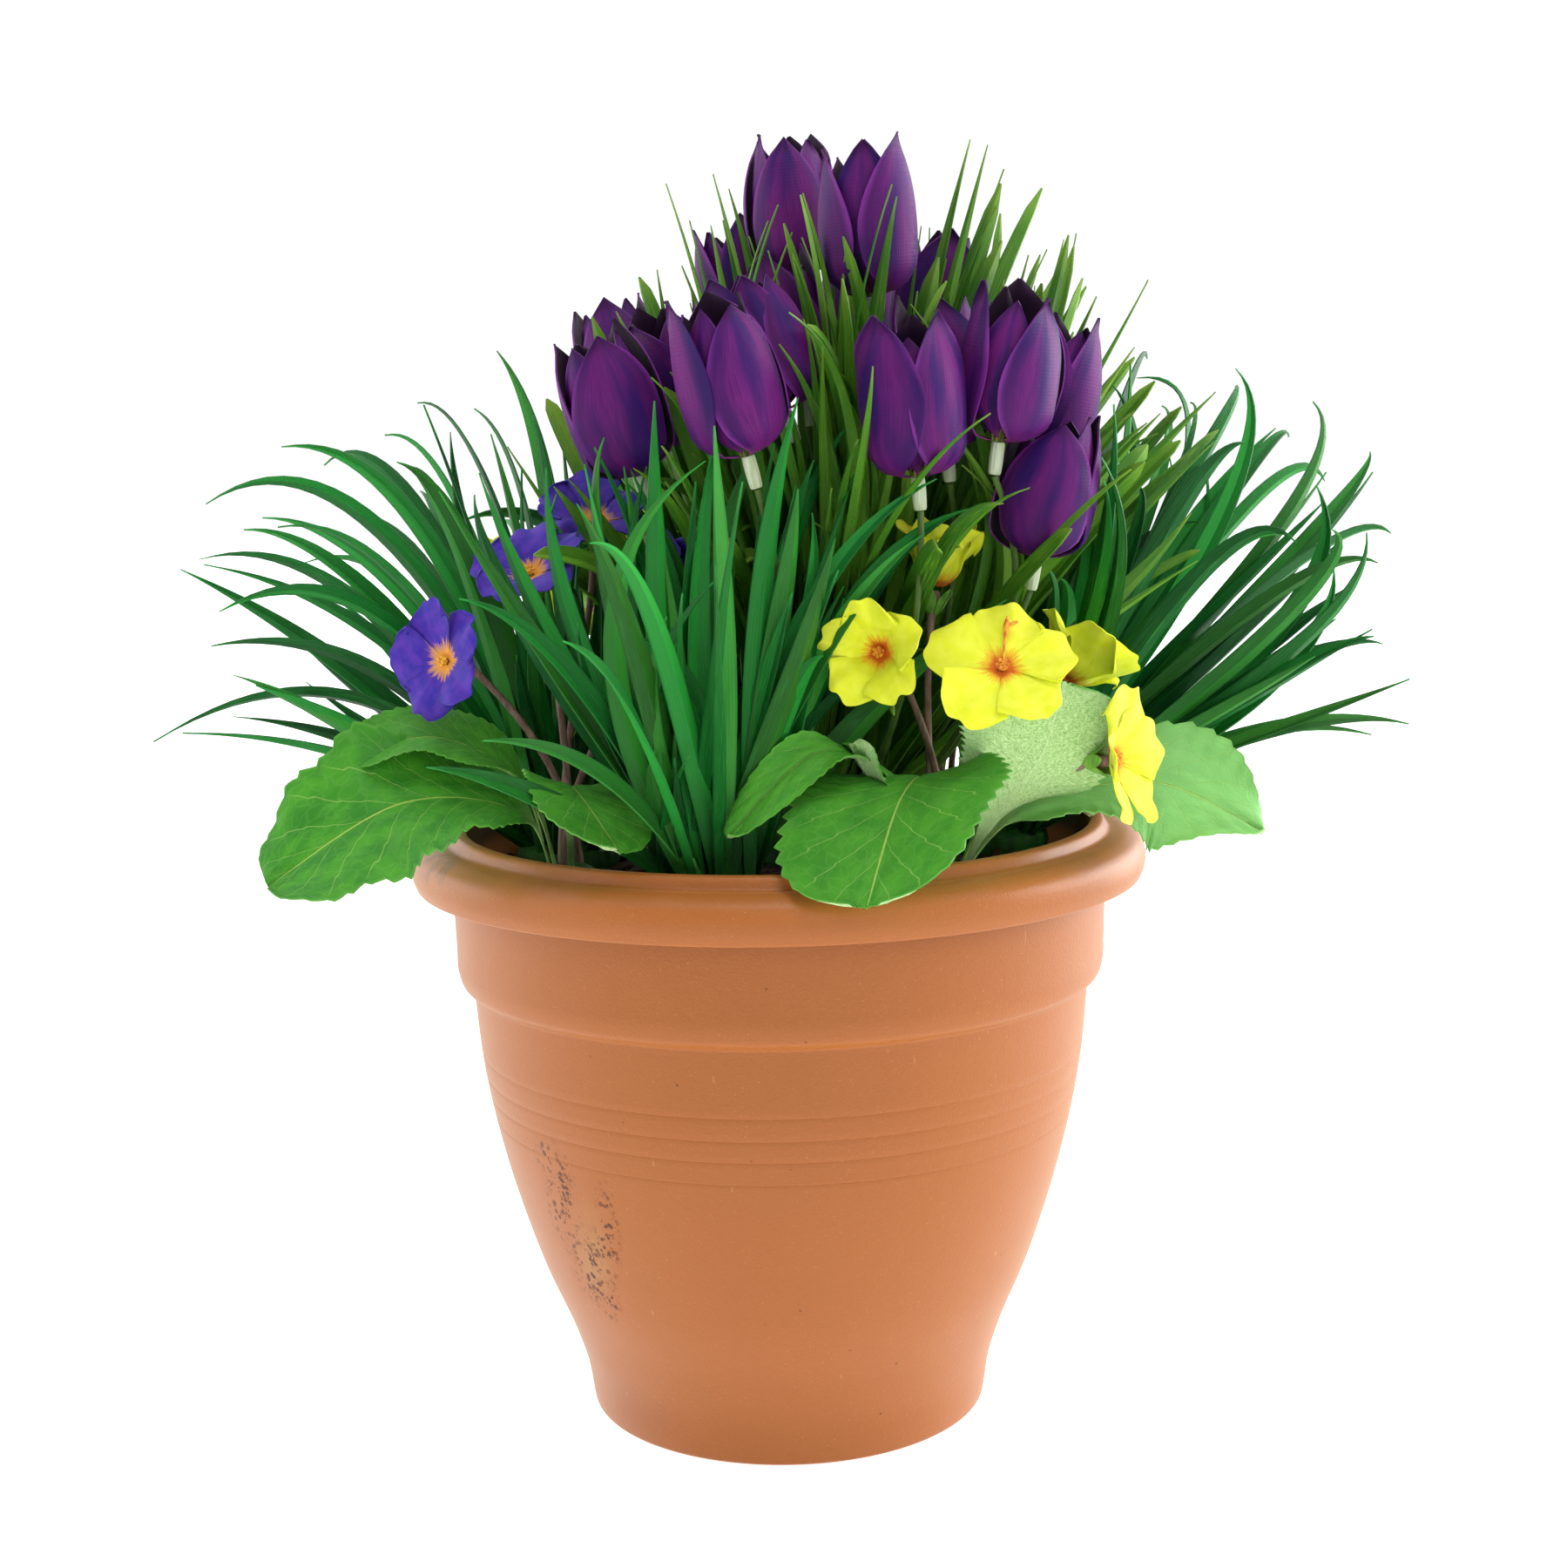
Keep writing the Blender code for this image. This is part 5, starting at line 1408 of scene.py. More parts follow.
def painted(piece, *materials):
    for material in materials:
        piece.data.materials.append(material)
    return piece


def put_in(piece, slot, *nodes, crease=PLAIN_CREASE):
    """Gives a finished piece its shading and its body, and hides the solids of the model that it
    stands for. The slot is not used.
    """
    choose(piece)
    bpy.ops.object.shade_smooth_by_angle(angle=math.radians(crease))
    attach(piece, "root")
    if nodes:
        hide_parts(*nodes)


def two_faced(piece):
    """Gives a painted sheet the thickness of cloth, with the second paint on its back."""
    return shaped(piece, "SOLIDIFY", thickness=CLOTH_THICK, offset=-1, material_offset=1,
                  material_offset_rim=0)


def edit_all():
    """Goes into edit mode with everything selected."""
    bpy.ops.object.mode_set(mode="EDIT")
    bpy.ops.mesh.select_all(action="SELECT")


def end_edit():
    """Turns all faces outwards and leaves edit mode."""
    bpy.ops.mesh.select_all(action="SELECT")
    bpy.ops.mesh.normals_make_consistent(inside=False)
    bpy.ops.object.mode_set(mode="OBJECT")


def flat_sheet(columns, rows):
    """A flat pattern, 2 wide and 2 long, from which leaves and petals are bent."""
    bpy.ops.object.select_all(action="DESELECT")
    bpy.ops.mesh.primitive_grid_add(x_subdivisions=columns, y_subdivisions=rows, size=2)
    pattern = bpy.context.object
    pattern.data.attributes.new("shade", "FLOAT", "POINT")
    return pattern


def round_rod(sides, rows):
    """A straight rod pattern, 2 wide and 2 long along Y, closed at both ends."""
    bpy.ops.object.select_all(action="DESELECT")
    bpy.ops.mesh.primitive_circle_add(vertices=sides, radius=1, fill_type="NGON",
                                      location=(0, -1, 0), rotation=(math.pi / 2, 0, 0))
    rod = bpy.context.object
    bpy.ops.object.transform_apply()
    edit_all()
    bpy.ops.mesh.duplicate()
    bpy.ops.mesh.flip_normals()
    bpy.ops.mesh.select_all(action="SELECT")
    bpy.ops.mesh.remove_doubles(threshold=0.0001)
    bpy.ops.mesh.select_all(action="SELECT")
    for _ in range(rows):
        bpy.ops.mesh.extrude_region_move(TRANSFORM_OT_translate={"value": (0, 2 / rows, 0)})
    end_edit()
    rod.data.attributes.new("shade", "FLOAT", "POINT")
    return rod


def bent_copies(name, pattern, bends):
    """Copies of a pattern, each bent by its own rule and joined in one piece; uses it up."""
    flat = np.empty(len(pattern.data.vertices) * 3, np.float32)
    pattern.data.vertices.foreach_get("co", flat)
    x, y, z = flat.reshape(-1, 3).astype(float).T
    copies = []
    for bend, shade in bends:
        copy = pattern.copy()
        copy.data = pattern.data.copy()
        bpy.context.collection.objects.link(copy)
        points = bend(x, (y + 1) / 2, z) * MM
        copy.data.vertices.foreach_set("co", points.astype(np.float32).ravel())
        shades = np.full(len(x), shade, np.float32)
        copy.data.attributes["shade"].data.foreach_set("value", shades)
        copies.append(copy)
    bpy.data.objects.remove(pattern)
    return joined(name, copies)


def eased(keys, share):
    """Smooth curve through keys of (place, value), read at each share."""
    places = np.array([key[0] for key in keys], float)
    values = np.array([key[1] for key in keys], float)
    slopes = np.gradient(values, places)
    share = np.clip(share, places[0], places[-1])
    index = np.clip(np.searchsorted(places, share, side="right") - 1, 0, len(places) - 2)
    width = places[index + 1] - places[index]
    t = (share - places[index]) / width
    start, end = values[index], values[index + 1]
    return ((2 * t ** 3 - 3 * t ** 2 + 1) * start + (t ** 3 - 2 * t ** 2 + t) * width * slopes[index]
            + (3 * t ** 2 - 2 * t ** 3) * end + (t ** 3 - t ** 2) * width * slopes[index + 1])


class Spine:
    """A line in space with a direction across it at every point, on which a pattern is bent."""

    def __init__(self, line, twist):
        """The twist is in radians, one number or one for each point of the line."""
        self.points = np.array([tuple(p) for p in line])
        ways = np.gradient(self.points, axis=0)
        self.ways = ways / np.linalg.norm(ways, axis=1)[:, None]
        run = self.points[-1] - self.points[0]
        level = np.array([run[0], run[1], 0.0])
        if np.linalg.norm(level) < 1:
            level = np.array([1.0, 0.0, 0.0])
        level = np.cross(level / np.linalg.norm(level), (0, 0, 1))
        across = level - (self.ways @ level)[:, None] * self.ways
        across /= np.linalg.norm(across, axis=1)[:, None]
        turn = np.broadcast_to(twist, len(self.points))[:, None]
        self.sides = across * np.cos(turn) + np.cross(self.ways, across) * np.sin(turn)
        self.faces = np.cross(self.sides, self.ways)
        self.spots = np.linspace(0, 1, len(self.points))

    def read(self, table, share):
        return np.stack([np.interp(share, self.spots, table[:, axis]) for axis in range(3)], 1)

    def bent(self, across, share, lift):
        return (self.read(self.points, share) + self.read(self.sides, share) * across[:, None]
                + self.read(self.faces, share) * lift[:, None])


def round_axis(foot, axis):
    """A rule for points at heights along an axis, at distances from it and angles round it."""
    first, second, up, base = (np.array(v) for v in (*square_to(axis), axis, foot))

    def placed(height, reach, angle):
        out = np.outer(np.cos(angle), first) + np.outer(np.sin(angle), second)
        return base + np.outer(height, up) + out * reach[:, None]

    return placed


def stood(spin, middle):
    """A rule that moves points from a piece's own axes to where it stands."""
    turn, middle = np.array(spin.to_matrix()), np.array(middle)

    def moved(*axes):
        return np.stack(axes, 1) @ turn.T + middle

    return moved


# Pot

def rounded(corners):
    """An outline through corners of (radius, height, rounding), each corner cut to an arc."""
    line = []
    for index, (radius, height, rounding) in enumerate(corners):
        here = Vector((radius, height))
        if rounding == 0 or index in (0, len(corners) - 1):
            line.append(here)
            continue
        before = Vector(corners[index - 1][:2])
        after = Vector(corners[index + 1][:2])
        back = min(rounding, (before - here).length * 0.48)
        on = min(rounding, (after - here).length * 0.48)
        start = here + (before - here).normalized() * back
        end = here + (after - here).normalized() * on
        line += [bowed(start, here, end, step / ARC_STEPS) for step in range(ARC_STEPS + 1)]
    return line


def bell_side():
    """Outside of the bell from foot to shoulder, with the four fine lines cut into it."""
    low, high = BELL[0][0], BELL[-1][0]
    heights = [low + (high - low) * step / BELL_STEPS for step in range(BELL_STEPS + 1)]
    side = [(height, 0.0) for height in heights
            if all(abs(height - line) > LINE_HALF * 1.6 for line in ENGRAVED_LINES)]
    for line in ENGRAVED_LINES:
        side += [(line - LINE_HALF, 0.0), (line, -LINE_DEPTH), (line + LINE_HALF, 0.0)]
    side.sort()
    radii = eased(BELL, np.array([height for height, _ in side]))
    return [(radius + cut, height, 0) for (height, cut), radius in zip(side, radii)]


def spun_pot():
    """The pot turned from its outline, from the middle of the foot round the wall and back."""
    corners = [(0.4, 0, 0), (FOOT_R - 0.2, 0, 1.5)] + bell_side()
    corners += [(126.6, 179.4, 0.8), (128.0, 180.6, 0.8), (131.2, 182.4, 2.4), (132.8, 188.5, 4),
                (132.7, 194, 0), (133.1, 208, 0), (133.5, 221.6, 0.8)]
    corners += [(134.0, 233, 2), (139.5, 236, 2), (144.3, 229, 2), (145.3, 222.8, 0.8)]
    corners += [(147.6, 222.3, 1.2), (LIP_R, 228.5, 5), (148.6, 237.0, 5), (141.0, 240.6, 3),
                (134.6, 240.0, 1.6), (132.6, POT_HEIGHT - 0.6, 1.6), (130.4, POT_HEIGHT, 1.2),
                (MOUTH_R, 244.6, 1.4)]
    corners += [(MIX_TOP_R + 0.7, 228, 3), (MIX_TOP_R + MIX_GAP, 194, 4), (SHOULDER_R, 176, 6)]
    corners += [(wall_inside(height), height, 0) for height in (150, 118, 86, 63, 33, 16)]
    corners += [(wall_inside(8), 8, 3), (FLOOR_R, FLOOR, 3), (0.4, FLOOR, 0)]
    bpy.ops.object.select_all(action="DESELECT")
    bpy.ops.mesh.primitive_plane_add(size=1)
    pot = bpy.context.object
    line = [Vector((point.x * MM, 0, point.y * MM)) for point in rounded(corners)]
    edit_all()
    bpy.ops.mesh.merge(type="CENTER")
    bpy.ops.transform.translate(value=line[0])
    for before, after in zip(line, line[1:]):
        bpy.ops.mesh.extrude_region_move(TRANSFORM_OT_translate={"value": after - before})
    bpy.ops.mesh.select_all(action="SELECT")
    bpy.ops.mesh.spin(steps=SPIN_STEPS, angle=math.tau, center=(0, 0, 0), axis=(0, 0, 1))
    bpy.ops.mesh.select_all(action="SELECT")
    bpy.ops.mesh.remove_doubles(threshold=0.00002)
    bpy.ops.mesh.select_all(action="DESELECT")
    bpy.ops.mesh.select_non_manifold()
    bpy.ops.mesh.fill_holes(sides=0)
    end_edit()
    drills = []
    for number in range(DRAIN_COUNT):
        angle = math.tau * (number + 0.5) / DRAIN_COUNT
        bpy.ops.mesh.primitive_cylinder_add(
            vertices=32, radius=DRAIN_R * MM, depth=0.02,
            location=(DRAIN_RING * MM * math.cos(angle), DRAIN_RING * MM * math.sin(angle), 0.002))
        drills.append(bpy.context.object)
    drill = joined("drill", drills)
    shaped(pot, "BOOLEAN", object=drill, operation="DIFFERENCE", solver="EXACT")
    bpy.data.objects.remove(drill)
    pot.name = "bell_pot"
    return painted(pot, terracotta_plastic())


def mix_height(x, y):
    """Height of the mix at a place, in millimetres."""
    reach = min(math.hypot(x, y) / MIX_TOP_R, 1)
    lumps = noise.fractal(Vector((x, y, 3)) * 0.045, 1.0, 2.0, 4)
    return MIX_MIDDLE_Z + (MIX_EDGE_Z - MIX_MIDDLE_Z) * reach ** 2 + 2.6 * lumps


def filled_mix():
    """The potting mix: a lumpy top over a plug that fills the pot below."""
    bpy.ops.object.select_all(action="DESELECT")
    bpy.ops.mesh.primitive_circle_add(vertices=MIX_FINE_SIDES, radius=1, fill_type="TRIFAN")
    mix = bpy.context.object
    edit_all()
    bpy.ops.mesh.subdivide(number_cuts=15)
    bpy.ops.object.mode_set(mode="OBJECT")
    for vertex in mix.data.vertices:
        reach = vertex.co.length
        way = vertex.co.normalized() if reach > 0 else Vector((0, 0, 0))
        reach = min(reach / math.cos(math.pi / MIX_FINE_SIDES), 1.0)
        x, y = way.x * reach * MIX_TOP_R, way.y * reach * MIX_TOP_R
        vertex.co = Vector((x, y, mix_height(x, y))) * MM
    edit_all()
    bpy.ops.mesh.region_to_loop()
    bpy.ops.mesh.extrude_edges_move(TRANSFORM_OT_translate={"value": (0, 0, -0.03)})
    bpy.ops.mesh.edge_face_add()
    end_edit()
    mix.name = "potting_mix_fill"
    return painted(mix, bark_mix())


def chip_bend(size, moved, taper):
    def bend(across, share, up):
        along = share * 2 - 1
        return moved(along * size[0], across * size[1] * (1 + taper * along), up * size[2])

    return bend


def scattered_chips():
    """Loose chips of bark on the mix, each cut a little differently."""
    bpy.ops.object.select_all(action="DESELECT")
    bpy.ops.mesh.primitive_cube_add(size=2)
    chip = bpy.context.object
    edit_all()
    bpy.ops.mesh.bevel(offset=0.45, segments=1)
    bpy.ops.object.mode_set(mode="OBJECT")
    chip.data.attributes.new("shade", "FLOAT", "POINT")
    draw = random.Random("chips")
    bends = []
    for _ in range(CHIP_COUNT):
        reach = CHIP_RING * math.sqrt(draw.random())
        angle = draw.uniform(0, math.tau)
        x, y = reach * math.cos(angle), reach * math.sin(angle)
        size = (draw.uniform(2.2, 6.5), draw.uniform(1.4, 3.6), draw.uniform(0.5, 1.2))
        turn = (Quaternion((0, 0, 1), draw.uniform(0, math.tau))
                @ Quaternion((1, 0, 0), draw.gauss(0, 0.35))
                @ Quaternion((0, 1, 0), draw.gauss(0, 0.35)))
        middle = Vector((x, y, mix_height(x, y) + size[2] * 0.5))
        taper = draw.uniform(-0.35, 0.35)
        bends.append((chip_bend(size, stood(turn, middle), taper), draw.random()))
    return painted(bent_copies("bark_chips", chip, bends), bark_chip())


def crown_bend(x, y, radius, depth):
    """Bends a rod to a ridged plug that the leaves and stems of a plant are moulded into."""
    def bend(across, share, up):
        angle = np.arctan2(up, across)
        reach = np.hypot(across, up) * eased(CROWN_KEYS, share) * radius
        reach = reach * (1 + 0.035 * np.cos(12 * angle))
        height = CROWN_TOP_Z + 1.5 - depth * (1 - share)
        return np.stack([x + reach * np.cos(angle), y - reach * np.sin(angle), height], 1)

    return bend


# Blades

def blade_bend(place, wider, outline, fold, draw):
    """Bends a flat pattern to a folded blade that twists slowly and curls at its tip."""
    root, tip, bow, width, twist = place
    line = curve_through(root, tip, bow, FINE_BLADE_POINTS)
    shares = [n / (FINE_BLADE_POINTS - 1) for n in range(FINE_BLADE_POINTS)]
    side = side_of(line, 0)[-1]
    hook = (side * draw.uniform(-1, 1) - UP * draw.uniform(-0.7, 0.7)) * draw.uniform(*TIP_HOOK)
    line = [point + hook * (max(0, share - HOOK_FROM) / (1 - HOOK_FROM)) ** 2
            for share, point in zip(shares, line)]
    slow_turn = math.radians(draw.uniform(-BLADE_TURN, BLADE_TURN))
    slow_turn += math.copysign(math.radians(FIXED_TURN), twist)
    spine = Spine(line, [twist + slow_turn * (share - 0.1) for share in shares])
    ripple, phase = draw.uniform(0, 0.07), draw.uniform(0, math.tau)
    fold = fold * draw.uniform(0.55, 1.1)

    def bend(across, share, _):
        half = width * wider / 2 * eased(outline, share)
        side = np.abs(across)
        lift = half * (fold * (side - 0.6) + ripple * side ** 3 * np.sin(9 * share + phase))
        return spine.bent(across * half * (1 - 0.12 * fold), share, lift)

    return bend


def grown_blades(name, places, wider, outlines, fold, thickness, material, seed):
    """All blades of one plant, of sheet with a thickness, in pieces of MOST_BLADES at most."""
    draw = random.Random(seed)
    bends = [(blade_bend(place, wider, draw.choice(outlines), fold, draw), draw.random())
             for place in places]
    pieces = []
    for first in range(0, len(bends), MOST_BLADES):
        part = name if first == 0 else f"{name}_{len(pieces) + 1}"
        blades = bent_copies(part, flat_sheet(*BLADE_SHEET), bends[first:first + MOST_BLADES])
        painted(blades, material)
        pieces.append(shaped(blades, "SOLIDIFY", thickness=thickness, offset=0))
    return pieces


# Tulips

def straight(start, end):
    return [start.lerp(end, step / 8) for step in range(9)]


def tube_bend(line, keys, radius):
    """Bends a rod along a line, with its thickness from keys of (share, share of radius)."""
    spine = Spine(line, 0.0)

    def bend(across, share, up):
        size = eased(keys, share) * radius
        return spine.bent(across * size, share, -up * size)

    return bend


def tulip_stems(stems):
    bends, sleeves = [], []
    for number, (foot, tip, sway) in enumerate(stems):
        line, (start, end) = stem_line(TULIP_CROWN, foot, tip, sway, STEM_POINTS)
        shade = (number * GOLDEN) % 1
        bends.append((tube_bend(line, STEM_KEYS, STEM_R), shade))
        sleeves.append((tube_bend(straight(start, end), SLEEVE_KEYS, SLEEVE_R * 0.92), shade))
    green = bent_copies("tulip_stems", round_rod(*STEM_ROD), bends)
    pale = bent_copies("tulip_sleeves", round_rod(*STEM_ROD), sleeves)
    painted(green, plain_moulding("tulip_stem", "38541E", "5A7A34"))
    painted(pale, plain_moulding("tulip_sleeve", "A6B58C", "CDD6BC", 0.38, 300))
    return green, pale


def petal_bend(foot, axis, length, heading, keys, draw):
    """Bends a flat pattern to a cupped tulip petal round its bloom's axis."""
    placed = round_axis(foot, axis)
    lean = PETAL_LEAN + draw.uniform(-0.30, 0.25)
    open_by = draw.uniform(-0.08, 0.22)
    curl = draw.uniform(-0.04, 0.10)
    stretch = draw.uniform(0.91, 1.04)
    narrow = draw.uniform(0.74, 0.98)
    phase = draw.uniform(0, math.tau)
    tip_curl = draw.uniform(-0.10, 0.16)

    def bend(across, share, _):
        height, reach, half = (eased([(key[0], key[n]) for key in keys], share)
                               for n in (1, 2, 3))
        half = half * BLOOM_R * narrow
        side = np.abs(across)
        reach = reach * BLOOM_R * (1 + open_by * share ** 2)
        reach = reach + BLOOM_R * (curl * side ** 3 + tip_curl * np.clip(share - 0.86, 0, 1) * 5 * 0.3)
        reach = reach + 0.35 * np.exp(-(across / 0.10) ** 2) * np.sin(np.pi * share)
        reach = reach + 0.5 * side ** 2 * np.sin(8 * share + phase + across * 1.5)
        angle = heading + lean * share ** 2 + across * half / (0.90 * BLOOM_R)
        return placed(height * length * stretch, reach, angle)

    return bend


def bloom_heart(foot, axis, length):
    """A pistil and six stamens inside a bloom."""
    bends = []
    spin = UP.rotation_difference(axis)
    for number in range(7):
        angle = math.tau * number / 6
        out = Vector((math.cos(angle), math.sin(angle), 0)) if number < 6 else Vector((0, 0, 0))
        top = 0.46 if number < 6 else 0.40
        radius = 1.1 if number < 6 else 2.0
        line = [foot + spin @ (out * (2.2 + 3.2 * t) + UP * length * top * t)
                for t in [step / 10 for step in range(11)]]
        bends.append((tube_bend(line, STAMEN_KEYS, radius), number / 7))
    return bent_copies("heart", round_rod(*HEART_ROD), bends)


def tulip_head(number, foot, tip, turn, paints):
    """One bloom: three outer and three inner petals of cloth round a small heart."""
    foot, tip = Vector(foot), Vector(tip)
    length, axis = (tip - foot).length, (tip - foot).normalized()
    draw = random.Random(f"bloom {number}")
    bends = []
    for petal_number in range(6):
        heading = math.radians(turn + 60 * petal_number) + draw.uniform(-0.16, 0.16)
        keys = OUTER_KEYS if petal_number % 2 == 0 else INNER_KEYS
        bends.append((petal_bend(foot, axis, length, heading, keys, draw), draw.random()))
    head = bent_copies(f"tulip_head_{number:02d}", flat_sheet(*TULIP_PETAL_SHEET), bends)
    two_faced(painted(head, *paints[:2]))
    heart = painted(bloom_heart(foot, axis, length), paints[2])
    return joined(head.name, [head, heart])


# Primroses

def flower_petal_bend(spin, middle, radius, heading, cup, draw):
    """Bends a flat pattern to one broad notched petal of a primrose."""
    moved = stood(spin, middle)
    notch, reach = draw.uniform(0.0, 0.05), draw.uniform(0.95, 1.03)
    wave, phase = draw.uniform(0.6, 1.6), draw.uniform(0, math.tau)
    back, bowl = draw.uniform(-2.0, 4.0), draw.uniform(-2.0, 4.0)
    slant = draw.uniform(1.6, 3.0)

    def bend(across, share, _):
        side = np.abs(across)
        half = eased(FLOWER_WIDTHS, share) * radius
        dip = notch * np.exp(-(across / 0.25) ** 2) + 0.47 * side ** 3.0
        dip = dip + 0.014 * np.sin(11 * across + phase)
        out = radius * reach * (0.05 + 0.95 * share * (1 - dip * share ** 2))
        z = eased(FLOWER_LIFTS, share)
        z = z + wave * share ** 2 * np.sin(6.5 * across + phase) + slant * across * share
        z = z - back * share ** 4 + bowl * side ** 2 * share
        z = z - 0.5 * share * np.exp(-(across / 0.12) ** 2)
        stand = cup * np.clip(share * 2.5, 0, 1)
        out, z = out * np.cos(stand) - z * np.sin(stand), out * np.sin(stand) + z * np.cos(stand)
        wide = -across * half * (1 - 0.25 * np.sin(np.abs(stand)))
        c, s = math.cos(heading), math.sin(heading)
        return moved(c * out - s * wide, s * out + c * wide, z)

    return bend


def eye_bends(moved, radius):
    """Bends rods to the small throat of a primrose and to its ring of stamens."""
    def cup(across, share, up):
        size = eased(EYE_KEYS, share) * radius * 0.07
        return moved(across * size, -up * size, share * 2.4 - 0.9)

    def stamen_bend(number):
        angle = math.tau * number / STAMENS
        out = (math.cos(angle) * radius * 0.10, math.sin(angle) * radius * 0.10)

        def stamen(across, share, up):
            size = eased(EYE_STAMEN_KEYS, share) * 0.6
            lean = 0.35 + 0.4 * share
            height = share * (2.4 + 0.5 * (number % 3)) - 0.4
            return moved(out[0] * lean + across * size, out[1] * lean - up * size, height)

        return stamen

    return [(cup, 0.9)] + [(stamen_bend(n), 0.15 + 0.05 * n) for n in range(STAMENS)]


def primrose_flower(name, middle, facing, radius, turn, cup, paints):
    facing = Vector(facing).normalized()
    spin = UP.rotation_difference(facing)
    draw = random.Random(name)
    bends = []
    for number in range(5):
        heading = math.radians(turn + 72 * number) + draw.uniform(-0.05, 0.05)
        bends.append((flower_petal_bend(spin, middle, radius, heading, cup, draw), draw.random()))
    flower = painted(bent_copies(name, flat_sheet(*PETAL_SHEET), bends), paints[0])
    shaped(flower, "SOLIDIFY", thickness=PETAL_THICK, offset=-1)
    eye = bent_copies("eye", round_rod(*EYE_ROD), eye_bends(stood(spin, middle), radius))
    pieces = [flower, painted(eye, paints[1])]
    if name in LOOSE_STYLES:
        pieces.append(painted(loose_style(Vector(middle), facing), paints[1]))
    return joined(name, pieces)


def loose_style(middle, facing):
    """A forked orange strip that has come loose from a flower's eye and lies over a petal."""
    rise = (UP - facing * facing.z).normalized() + Vector((0.18, 0, 0))
    line = [middle + rise * 19 * t + facing * (1.5 + 6 * t - 3 * t * t)
            for t in [step / 14 for step in range(15)]]
    fork = [line[11] + (Vector((1, 0, 0)) * 4 + rise * 1.5) * t + facing * 0.6 * t
            for t in [step / 8 for step in range(9)]]
    return bent_copies("style", round_rod(*STYLE_ROD), [
        (tube_bend(line, [(0, 0.6), (0.5, 0.8), (0.85, 1.3), (1, 0.5)], 0.8), 0.2),
        (tube_bend(fork, [(0, 0.6), (0.7, 0.9), (1, 0.4)], 0.8), 0.2)])


def primrose_stems(name, crown, flowers):
    """Stalks of a primrose and the five sepals behind each of its flowers."""
    stalks, sepals = [], []
    draw = random.Random(name)
    for number, (middle, facing) in enumerate(flowers):
        line, (_, top) = flower_stem_line(crown, middle, facing, stalk_heading(number),
                                          STEM_POINTS)
        stalks.append((tube_bend(line, STALK_KEYS, FLOWER_STEM_R * 0.9), draw.random()))
        foot = line[-1]
        axis = (top - foot).normalized()
        stalks.append((tube_bend(straight(foot, top), CALYX_KEYS, CALYX_R * 0.8), 0.5))
        for sepal in range(5):
            heading = math.radians(72 * sepal + 36) + draw.uniform(-0.1, 0.1)
            sepals.append((sepal_bend(foot, axis, heading, draw), draw.random()))
    return (bent_copies(name + "_stems", round_rod(*STEM_ROD), stalks),
            bent_copies(name + "_sepals", flat_sheet(*SEPAL_SHEET), sepals))


def sepal_bend(foot, axis, heading, draw):
    """Bends a flat pattern to a pointed sepal that clasps the back of a flower."""
    placed = round_axis(foot, axis)
    flare = draw.uniform(0.9, 1.25)

    def bend(across, share, _):
        half = eased([(0, 0.7), (0.3, 2.3), (0.6, 2.5), (0.85, 1.4), (1, 0.05)], share)
        reach = eased([(0, 1.6), (0.3, 3.4), (0.6, 4.4), (1, 6.6)], share) * flare
        height = share * CALYX_LENGTH * 1.12
        return placed(height, reach, heading + across * half / np.maximum(reach, 2.2))

    return bend


def broad_leaf_bend(knots, width, twist, lobes, point, draw):
    """Bends a flat pattern to a primrose leaf: toothed edge, sunken veins and waved margins."""
    shares = [n / (LEAF_POINTS - 1) for n in range(LEAF_POINTS)]
    line = leaf_line(knots, shares)
    spine = Spine(line, [twist * min(1, 1.5 * share) for share in shares])
    phase, wave = draw.uniform(0, math.tau), draw.uniform(1.0, 3.2) + 4 * point
    tooth_phase = draw.random()
    cup = LEAF_CUP * draw.uniform(0.3, 1.3)
    length = sum((b - a).length for a, b in zip(line, line[1:]))
    rate = 19 + 1600 * max(0, lobes - 0.06)  # deep lobes are also shorter

    def bend(across, share, _):
        off = np.abs(across)
        spread = np.sign(across) * off ** 1.2
        teeth = (share * LEAF_TEETH + tooth_phase) % 1
        toothed = 1 + 0.10 * (teeth - 0.5) * (share > 0.34) * (1 - share ** 14)
        scallop = 1 + lobes * np.sin(share * rate + phase + np.sign(across))
        half = width / 2 * eased(LEAF_OUTLINE, share) * toothed * scallop
        half = half * (1 - point * np.clip((share - 0.72) / 0.28, 0, 1))
        course = share * SIDE_VEINS - off ** 0.85 * VEIN_SWEEP + (across > 0) * 0.5
        quilt = np.cos(2 * np.pi * (course - 0.5)) * off * (1 - off) * 2.4
        blade_part = np.clip((share - 0.25) * 6, 0, 1)
        lift = (cup * half * off ** 2 + blade_part * (
            wave * off ** 3 * np.sin(14 * share + phase + across * 2)
            - 0.55 * quilt - 0.9 * np.exp(-(across / 0.10) ** 2)))
        sag = 0.05 * half * off ** 2 * np.clip((share - 0.6) * 2.5, 0, 1)
        share = share - sag / length
        return spine.bent(spread * half, np.clip(share, 0, 1), lift)

    return bend


def primrose_leaves(name, places, paints):
    draw = random.Random(name + " leaves")
    bends = []
    for number, (knots, width, twist) in enumerate(places):
        wider, turn, lobes, painted_light, point = OTHER_LEAVES.get((name, number), (1, 0, 0.045, 0, 0))
        bend = broad_leaf_bend(knots, width * wider, twist + math.radians(turn), lobes, point, draw)
        # A painted light of 1 gives the leaf the paler, lit colour of the top paint.
        bends.append((bend, max(painted_light, draw.uniform(0, 0.9))))
    leaves = bent_copies(name + "_leaves", flat_sheet(*LEAF_SHEET), bends)
    return two_faced(painted(leaves, *paints))


# The whole planter

